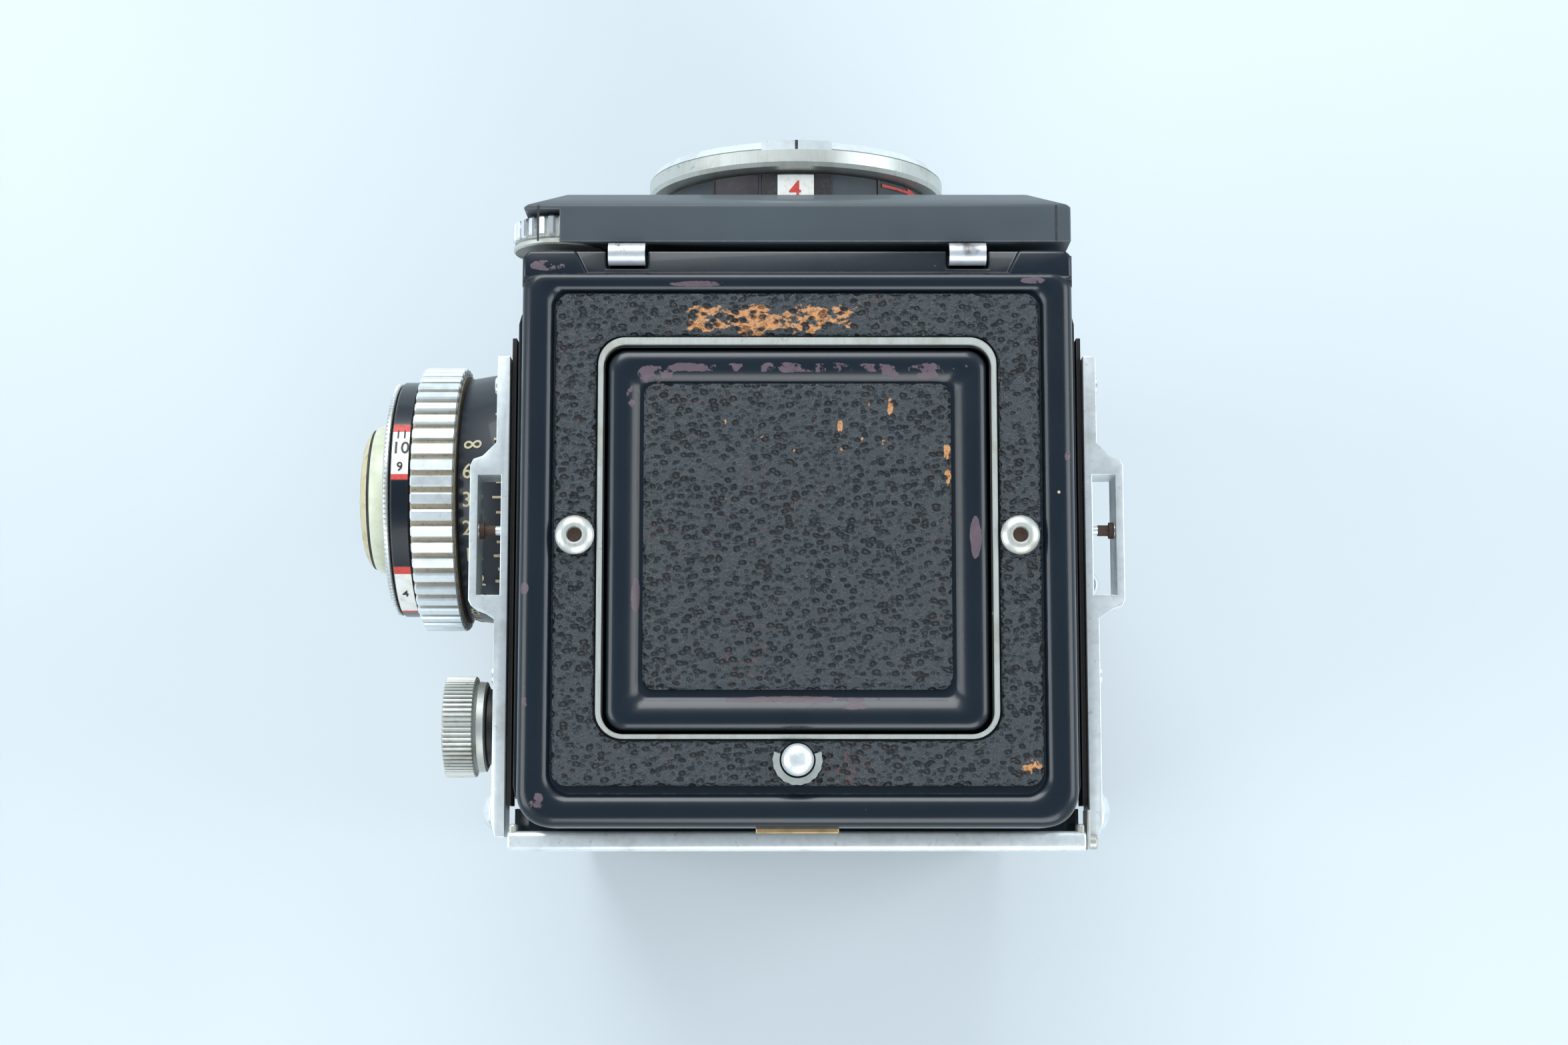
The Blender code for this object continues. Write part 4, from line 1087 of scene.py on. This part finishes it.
def makeCellScrew():
    profile = [(0, -42.7), (4.6, -42.7), (5.25, -42.5), (5.45, -42.2), (5.45, -39.9), (5.2, -39.7),
               (5.75, -39.55), (5.95, -39.35), (5.95, -38.95), (5.75, -38.75), (0, -38.7)]
    core = turned("cellScrewCore", "nickelWorn", profile, cellScrewAxis, "Y", 48)
    ribs = ribbed("cellScrewRibs", "Y", cellScrewAxis, -41.2, 6.0, 26, (0.92, 0.7, 2.5, 0.2), "chrome")
    settle(merged("cellScrew", core, ribs), "cell_screw", "chrome", "cell_screw")


makeCell()
makeCellScrew()


# lenses

lensShape = {"viewing": {"radius": 20.4, "front": -56.5, "glass": 12.8},
             "taking": {"radius": 20.0, "front": -56.0, "glass": 10.2}}


def makeLens(label):
    s, centre = lensShape[label], lensAxis[label]
    big, front = s["radius"], s["front"]
    face = front + 3.7
    profile = [(13.6, face), (big - 1.0, face), (big - 0.3, face - 0.25), (big, face - 0.8), (big, front + 1.25),
               (big - 0.12, front + 1.15), (big - 0.8, front + 0.12), (big - 1.1, front), (17.4, front),
               (17.1, front + 0.2), (16.7, front + 0.9), (15.2, front + 1.1), (15.0, front + 1.6),
               (13.6, front + 1.7)]
    ring = turned(f"{label}Ring", "nickel", profile, centre, "Y", 180, 24)
    # bayonet lugs inside the rim
    work = bmesh.new()
    for start in (75, 195, 315):
        patch(work, centre, "Y", front + 0.35, front + 0.85, start, start + 30, 16.0, 17.1, 8)
    lugs = asPiece(f"{label}Lugs", work, "nickelWorn")
    settle(merged(f"{label}Ring", ring, lugs), "front_standard", "satin_nickel", f"{label}_ring")
    # the polished bevel and its index
    work = bmesh.new()
    turn(work, [(big - 0.10, front + 1.12), (big - 0.02, front + 1.08), (big - 0.78, front + 0.04),
                (big - 0.86, front + 0.1)], centre, "Y", 180)
    if label == "viewing":
        # the index: a flat land on the bevel with a dark line across it
        patch(work, centre, "Y", front + 0.02, front + 1.3, -13.2, 13.2, big - 0.5, big - 0.02, 14, slot=1)
        patch(work, centre, "Y", front + 0.0, front + 1.32, -0.55, 0.55, big - 0.4, big - 0.005, 1, slot=2)
    bevel = asPiece(f"{label}Bevel", work, ["chromeSoft", "chromeSoft", "ink"], 24)
    settle(bevel, "front_standard", "chrome")
    # stepped bezel in front of the glass
    r = s["glass"]
    deep = face - 0.2 - (12.8 - r) * 0.30 - 0.12
    bezels = {"taking": [(r - 0.3, deep), (13.5, face - 0.35), (13.5, face - 0.6), (12.9, face - 0.75),
                         (12.2, face - 0.72), (12.0, face - 0.95), (r, deep - 0.3), (r - 0.3, deep - 0.15)],
              "viewing": [(12.85, face - 0.1), (13.5, face - 0.1), (13.5, face - 1.1), (13.2, face - 1.25),
                          (12.6, face - 0.75)]}
    settle(turned(f"{label}Bezel", "enamel", bezels[label], centre, "Y", 96), "front_standard", "black_paint")
    softened(f"{label}_housing", f"{label}Housing", "enamelPlate", 0.2)
    # front glass with a smooth crown
    crown, sag = face - 2.4, 2.2
    angles = [math.radians(90 * k / 14) for k in range(15)]
    rim = [(12.8 * math.sin(a), crown + sag * (1 - math.cos(a))) for a in angles]
    glass = turned(f"{label}Glass", "glass", rim + [(12.8, -45.8), (0, -45.8)], centre, "Y", 96, 50)
    settle(glass, "front_standard", "lens_glass", f"{label}_lens")
    # seams, readouts and marks round the housing
    work = bmesh.new()
    back = -41.8
    band = 18.6
    edge = face + 0.35
    for angle in (-180, -90, 90):
        patch(work, centre, "Y", edge, back, angle - 0.4, angle + 0.4, band - 0.1, band + 0.03, 1, slot=1)
    if label == "viewing":
        for angle in (-36.3, 36.3, -14.3, 15.0):
            patch(work, centre, "Y", edge, back, angle - 0.5, angle + 0.5, band - 0.1, band + 0.10, 1, 1)
        patch(work, centre, "Y", edge, back, 15.8, 35.6, band - 0.1, band + 0.05, 12, slot=4)
        patch(work, centre, "Y", edge + 0.2, back, -7.1, 7.7, band - 0.1, band + 0.10, 8, slot=2)
        for start in (-13.8, 7.9):
            patch(work, centre, "Y", edge, back, start, start + 6.3, band - 0.1, band + 0.06, 4, slot=1)

        def onBand(angle, along, lift):
            def spot(right, up, out):
                a = math.radians(angle) - right / (band + lift)
                return place["Y"](centre, band + lift + out, a, along - up)
            return spot

        letters(work, "4", 3.4, onBand(0.5, -50.1, 0.13), slot=3, bold=0.015)
        # arrow that points to the crank side
        patch(work, centre, "Y", -52.0, -51.6, -56.0, -38.0, band, band + 0.08, 6, slot=3)
        tip = math.radians(-54.0)
        head = [(tip, -52.46), (tip - 3.0 / band, -51.8), (tip, -51.14)]
        loops = [[place["Y"](centre, band + out, a, y) for a, y in head] for out in (0.0, 0.08)]
        skin(work, loops, caps=True, slot=3)
    marks = asPiece(f"{label}Marks", work, ["enamelTop", "ink", "white", "red", "plum"])
    settle(marks, "front_standard", "black_paint")


for label in lensAxis:
    makeLens(label)
housingTop = 107.5 + math.sqrt(18.6 ** 2 - 13.6 ** 2)
screws("housingScrews", "front_standard", 0.55,
       [(side * 13.6, -44.6, housingTop - 0.1, "+Z", 30) for side in (-1, 1)])


# front plate

def makeFront():
    softened("front_plate", "frontPlate", "enamel", 0.35, 3)
    # raised border round both lens housings
    work = bmesh.new()
    for label in lensAxis:
        turn(work, [(18.9, -41.55), (20.6, -41.55), (20.45, -41.85), (19.2, -41.9)], lensAxis[label], "Y", 96)
    settle(asPiece("lensCollars", work, "nickel"), "front_standard", "satin_nickel")
    levels = (121.0, 79.0, 27.0, 12.0)
    places = [(side * 31.8, -41.5, z, "-Y", 20 + 37 * i) for side in (-1, 1) for i, z in enumerate(levels)]
    screws("frontScrews", "front_standard", 1.15, places)
    for wheel, centre in wheelAxes.items():
        work = bmesh.new()
        turn(work, [(0, -47.0), (4.7, -47.0), (5.0, -46.85), (5.9, -46.4), (6.2, -46.2), (6.2, -45.6), (7.6, -45.6),
                    (8.05, -45.3), (8.05, -42.9), (7.6, -42.6), (7.4, -42.6), (7.4, -41.8), (0, -41.8)],
             centre, "Y")
        turn(work, [(0, -47.02), (1.3, -47.02), (1.3, -46.9), (0, -46.9)], centre, "Y", 24, slot=1)
        core = asPiece(f"{wheel}Core", work, ["nickel", "ink"])
        ribs = ribbed(f"{wheel}Ribs", "Y", centre, -44.1, 8.5, 46, (0.62, 0.7, 2.8, 0.16), "chrome")
        settle(merged(wheel.replace("_w", "W"), core, ribs), wheel, "chrome", wheel)
    controls = {"release_button": ("releaseButton", "chrome"), "release_lock": ("releaseLock", "nickelWorn"),
                "timer_lever": ("timerLever", "chrome"), "sync_socket": ("syncSocket", "chrome")}
    for node, (name, finish) in controls.items():
        softened(node, name, finish, 0.15)
    work = bmesh.new()
    turn(work, [(0, -46.5), (0.5, -46.6), (0.5, -44), (0, -44)], syncAxis, "Y", 16)
    turn(work, [(1.5, -46.35), (2.0, -46.35), (2.0, -46.48), (1.5, -46.48)], syncAxis, "Y", 24, slot=1)
    settle(asPiece("syncPin", work, ["brass", "ink"]), "front_standard", "worn_nickel")


makeFront()
print("front done")


# focusing knob

knob = {
    "scaleFigures": ["∞", "60", "30", "20", "15", "12", "10", "8", "7", "6", "5", "4", "3.5", "3"],
    "firstFigure": -17.7, "figureStep": 12.9, "figureSize": 2.9,
    "teeth": 50, "rib": (1.52, 0.8, 5.9, 0.22),
}


def onDrum(radius, angle, left):
    # text round the knob, read from outside towards the body
    def spot(right, up, out):
        along = left - right
        return place["X"](focusAxis, radius(along) + out, math.radians(angle) - up / radius(left), along)
    return spot


def makeKnob():
    centre = focusAxis

    def cone(x):
        return 18.5 - (x - 39.4) * (0.7 / 2.6) if x < 42 else 17.8 - (x - 42) * (0.7 / 4.1)

    softened("focus_scale", "focusScale", "enamelTop", 0.15)
    work = bmesh.new()
    for i, text in enumerate(knob["scaleFigures"]):
        angle = knob["firstFigure"] + knob["figureStep"] * i
        letters(work, text, knob["figureSize"], onDrum(cone, angle, 45.5), bold=0.02, thick=0.08, align="LEFT")
    deep = cone(40.2)
    for i in range(40):
        angle, end = knob["firstFigure"] - 40 + knob["figureStep"] * i / 2, 40.7 if i % 2 else 41.2
        patch(work, centre, "X", 39.6, end, angle - 0.5, angle + 0.5, deep - 0.15, deep + 0.10, 1)
    settle(asPiece("scaleFigures", work, "gold", 60), "focus_knob", "black_paint")
    # ribbed ring with grime in its grooves
    profile = [(0, 46.4), (17.6, 46.4), (17.95, 46.7), (18.0, 47.0), (18.0, 51.9), (17.9, 52.2), (17.5, 52.5),
               (0, 52.5)]
    core = turned("focusRingCore", "groove", profile, centre, "X", 100)
    ribs = ribbed("focusRingRibs", "X", centre, 49.45, 18.7, knob["teeth"], knob["rib"], "chromeSoft")
    settle(merged("focusRing", core, ribs), "focus_knob", "satin_nickel", "focus_ring")
    # exposure ring with two windows
    work = bmesh.new()
    turn(work, [(0, 52.8), (16.5, 52.8), (16.7, 53.0), (16.7, 55.2), (16.5, 55.4), (0, 55.4)], centre, "X", 96)
    r = 16.7
    for start, end in ((-25.9, -4.2), (45.5, 76)):
        patch(work, centre, "X", 52.95, 55.25, start, end, r - 0.1, r + 0.05, 10, slot=1)
        patch(work, centre, "X", 52.95, 55.25, start - 4.2, start, r - 0.1, r + 0.06, 3, slot=2)
        patch(work, centre, "X", 52.95, 55.25, end, end + 2.6, r - 0.1, r + 0.06, 3, slot=2)
    for text, angle, size in (("10", -17.0, 2.5), ("9", -7.6, 1.8), ("11", -24.2, 1.8), ("4", 59.0, 1.8)):
        letters(work, text, size, onDrum(lambda x: r + 0.1, angle, 54.1), slot=3, bold=0.02, thick=0.07)
    settle(asPiece("exposureRing", work, ["enamel", "white", "red", "ink"], 40), "exposure_dial", "black_paint",
           "exposure_ring")
    profile = [(0, 55.7), (16.35, 55.7), (16.5, 55.85), (16.5, 56.1), (16.35, 56.35), (16.0, 56.5), (13.5, 56.55),
               (11.2, 56.7), (10.9, 56.75), (0, 56.75)]
    core = turned("knobRimCore", "nickel", profile, centre, "X", 120, 24)
    ribs = ribbed("knobRimRibs", "X", centre, 56.05, 16.5, 150, (0.42, 0.3, 0.55, 0.08), "chrome")
    settle(merged("knobRim", core, ribs), "focus_knob", "chrome", "knob_rim")
    # domed cover with a dark line round its middle disc
    work = bmesh.new()
    wall = [(0, 56.8), (10.5, 56.8), (10.62, 57.3), (10.55, 58.4), (10.35, 59.1), (10.2, 59.3)]
    line = [(10.2, 59.3), (9.95, 59.42), (9.88, 59.6), (9.95, 59.72)]
    disc = [(9.95, 59.72), (9.5, 60.2), (8.4, 60.75), (6.6, 61.1), (4.0, 61.3), (0, 61.4)]
    for profile, slot in ((wall, 0), (line, 2), (disc, 1)):
        turn(work, profile, centre, "X", 96, slot, closed=False)
    dome = asPiece("meterDome", work, ["cream", "yellowed", "ink"], 60)
    settle(dome, "focus_knob", "cream_plastic", "meter_dome")


makeKnob()
print("focusing knob done")


# brackets, spool knobs, crank, back

def makeSides():
    for label in ("left", "right"):
        softened(f"strap_bracket_{label}", f"strapBracket{label.title()}", "chromeSoft", 0.45, 3)
    places = [(x, y, 121.9, way, 40) for x, way in ((-39.4, "-X"), (39.4, "+X")) for y in (-24.5, 14.0)]
    screws("bracketScrews", "camera_body", 1.2, places, "chrome", "chrome")
    # dark shim between bracket and body
    shims = blocks("bracketShims", "matt", *bothSides(37.0, 37.55, (-30.5, 31.0), (119.0, 124.2)))
    settle(shims, "camera_body", "black_matt")
    # rust on the strap studs
    work = bmesh.new()
    for side in (-1, 1):
        stud = [(0, 39.5), (0.72, 39.5), (0.72, 40.9), (1.08, 40.95), (1.12, 41.6), (0, 41.62)]
        turn(work, [(radius, side * x) for radius, x in stud], strapStudAxis, "X", 20)
    settle(asPiece("strapStuds", work, "rust"), "camera_body", "worn_nickel")
    for label, centre in spoolAxes.items():
        node = f"spool_knob_{label}"
        work = bmesh.new()
        turn(work, [(0, 28.6), (1.8, 28.6), (1.8, 33.1), (2.6, 33.1), (2.6, 38.0), (5.9, 38.0), (6.0, 39.6)],
             centre, "X", 48)
        turn(work, [(6.0, 39.6), (5.3, 39.9), (5.15, 40.1), (5.15, 41.6), (5.6, 41.8)], centre, "X", 48, 1, False)
        turn(work, [(5.6, 41.8), (6.1, 42.0), (6.15, 42.9), (5.8, 43.1), (6.2, 43.3), (6.45, 43.5), (6.45, 47.2),
                    (6.2, 47.5), (4.6, 47.5), (4.3, 47.3), (0, 47.2)], centre, "X", 48)
        core = asPiece(f"{node}Core", work, ["nickelWorn", "ink"])
        ribs = ribbed(f"{node}Ribs", "X", centre, 45.4, 6.85, 62, (0.42, 0.5, 4.1, 0.13), "nickelWorn")
        settle(merged(f"spoolKnob{label.title()}", core, ribs), node, "worn_nickel", node)


def makeCrank():
    softened("crank", "crankPlate", "chrome", 0.35, 3)
    softened("crank_handle", "crankHandle", "chrome", 0.2)
    screws("crankScrew", "crank", 1.9, [(-41.3, *crankAxis, "-X", 25)], "chrome", "chrome")
    work = bmesh.new()
    for inner, outer in ((10.8, 11.2), (9.6, 9.8)):
        turn(work, [(inner, -39.72), (outer, -39.72), (outer, -39.6), (inner, -39.6)], crankAxis, "X", 96)
    settle(asPiece("crankRings", work, "ink"), "crank", "chrome")
    # film counter figures behind their window
    work = bmesh.new()
    y0, z0 = counterAxis
    for i in range(12):
        a = math.radians(30 * i)

        def spot(right, up, out, a=a):
            high = up + 3.5
            return (-36.43 - out, y0 - right * math.cos(a) + high * math.sin(a),
                    z0 + right * math.sin(a) + high * math.cos(a))
        letters(work, str(i + 1), 2.0, spot, thick=0.04, bold=0.01)
    settle(asPiece("counterFigures", work, "ink"), "counter_dial", "satin_nickel")
    bezel = [(2.5, -37.45), (3.6, -37.45), (3.5, -37.8), (2.8, -37.8)]
    settle(turned("counterBezel", "chrome", bezel, counterAxis, "X", 48), "camera_body", "chrome")


def makeBack():
    softened("back_hinge_bar", "hingeBar", "chromeSoft", 0.3, 3)
    softened("back_latch", "backLatch", "nickelWorn", 0.2)
    softened("tripod_plate", "tripodPlate", "nickel", 0.2)
    # lugs where the bar turns
    cheeks = blocks("hingeCheeks", "nickelWorn", *bothSides(36.0, 37.0, (33.4, 36.6), (123.7, 126.1)))
    settle(bevelled(cheeks, 0.3), "camera_body", "worn_nickel")
    # hinge leaf and pin at the rear corner on the crank side
    work = bmesh.new()
    block(work, (-37.68, -37.28), (31.6, 36.7), (121.4, 126.2))
    turn(work, [(0, -38.7), (0.8, -38.7), (0.95, -38.55), (0.95, -37.3), (0, -37.3)], backHingeAxis, "X", 28)
    settle(bevelled(asPiece("hingeLeaf", work, "nickelWorn"), 0.15), "camera_body", "worn_nickel")
    # polished film rails beside the gate
    rails = blocks("filmRails", "nickel", *bothSides(28.5, 30.2, (31.0, 31.35), (38.0, 92.0)))
    settle(bevelled(rails, 0.1), "camera_body", "satin_nickel")


makeSides()
makeCrank()
makeBack()

# what stays from the frame gets its finish

special = {"magnifier_lens": "clear", "film_roller_upper": "chrome", "film_roller_lower": "chrome"}
for node, made in nodes.items():
    made.data.materials.clear()
    made.data.materials.append(finishes[special.get(node, slotFinish[slotOf.get(node, "black_paint")])])
print("finishes laid on", len(nodes), "nodes")
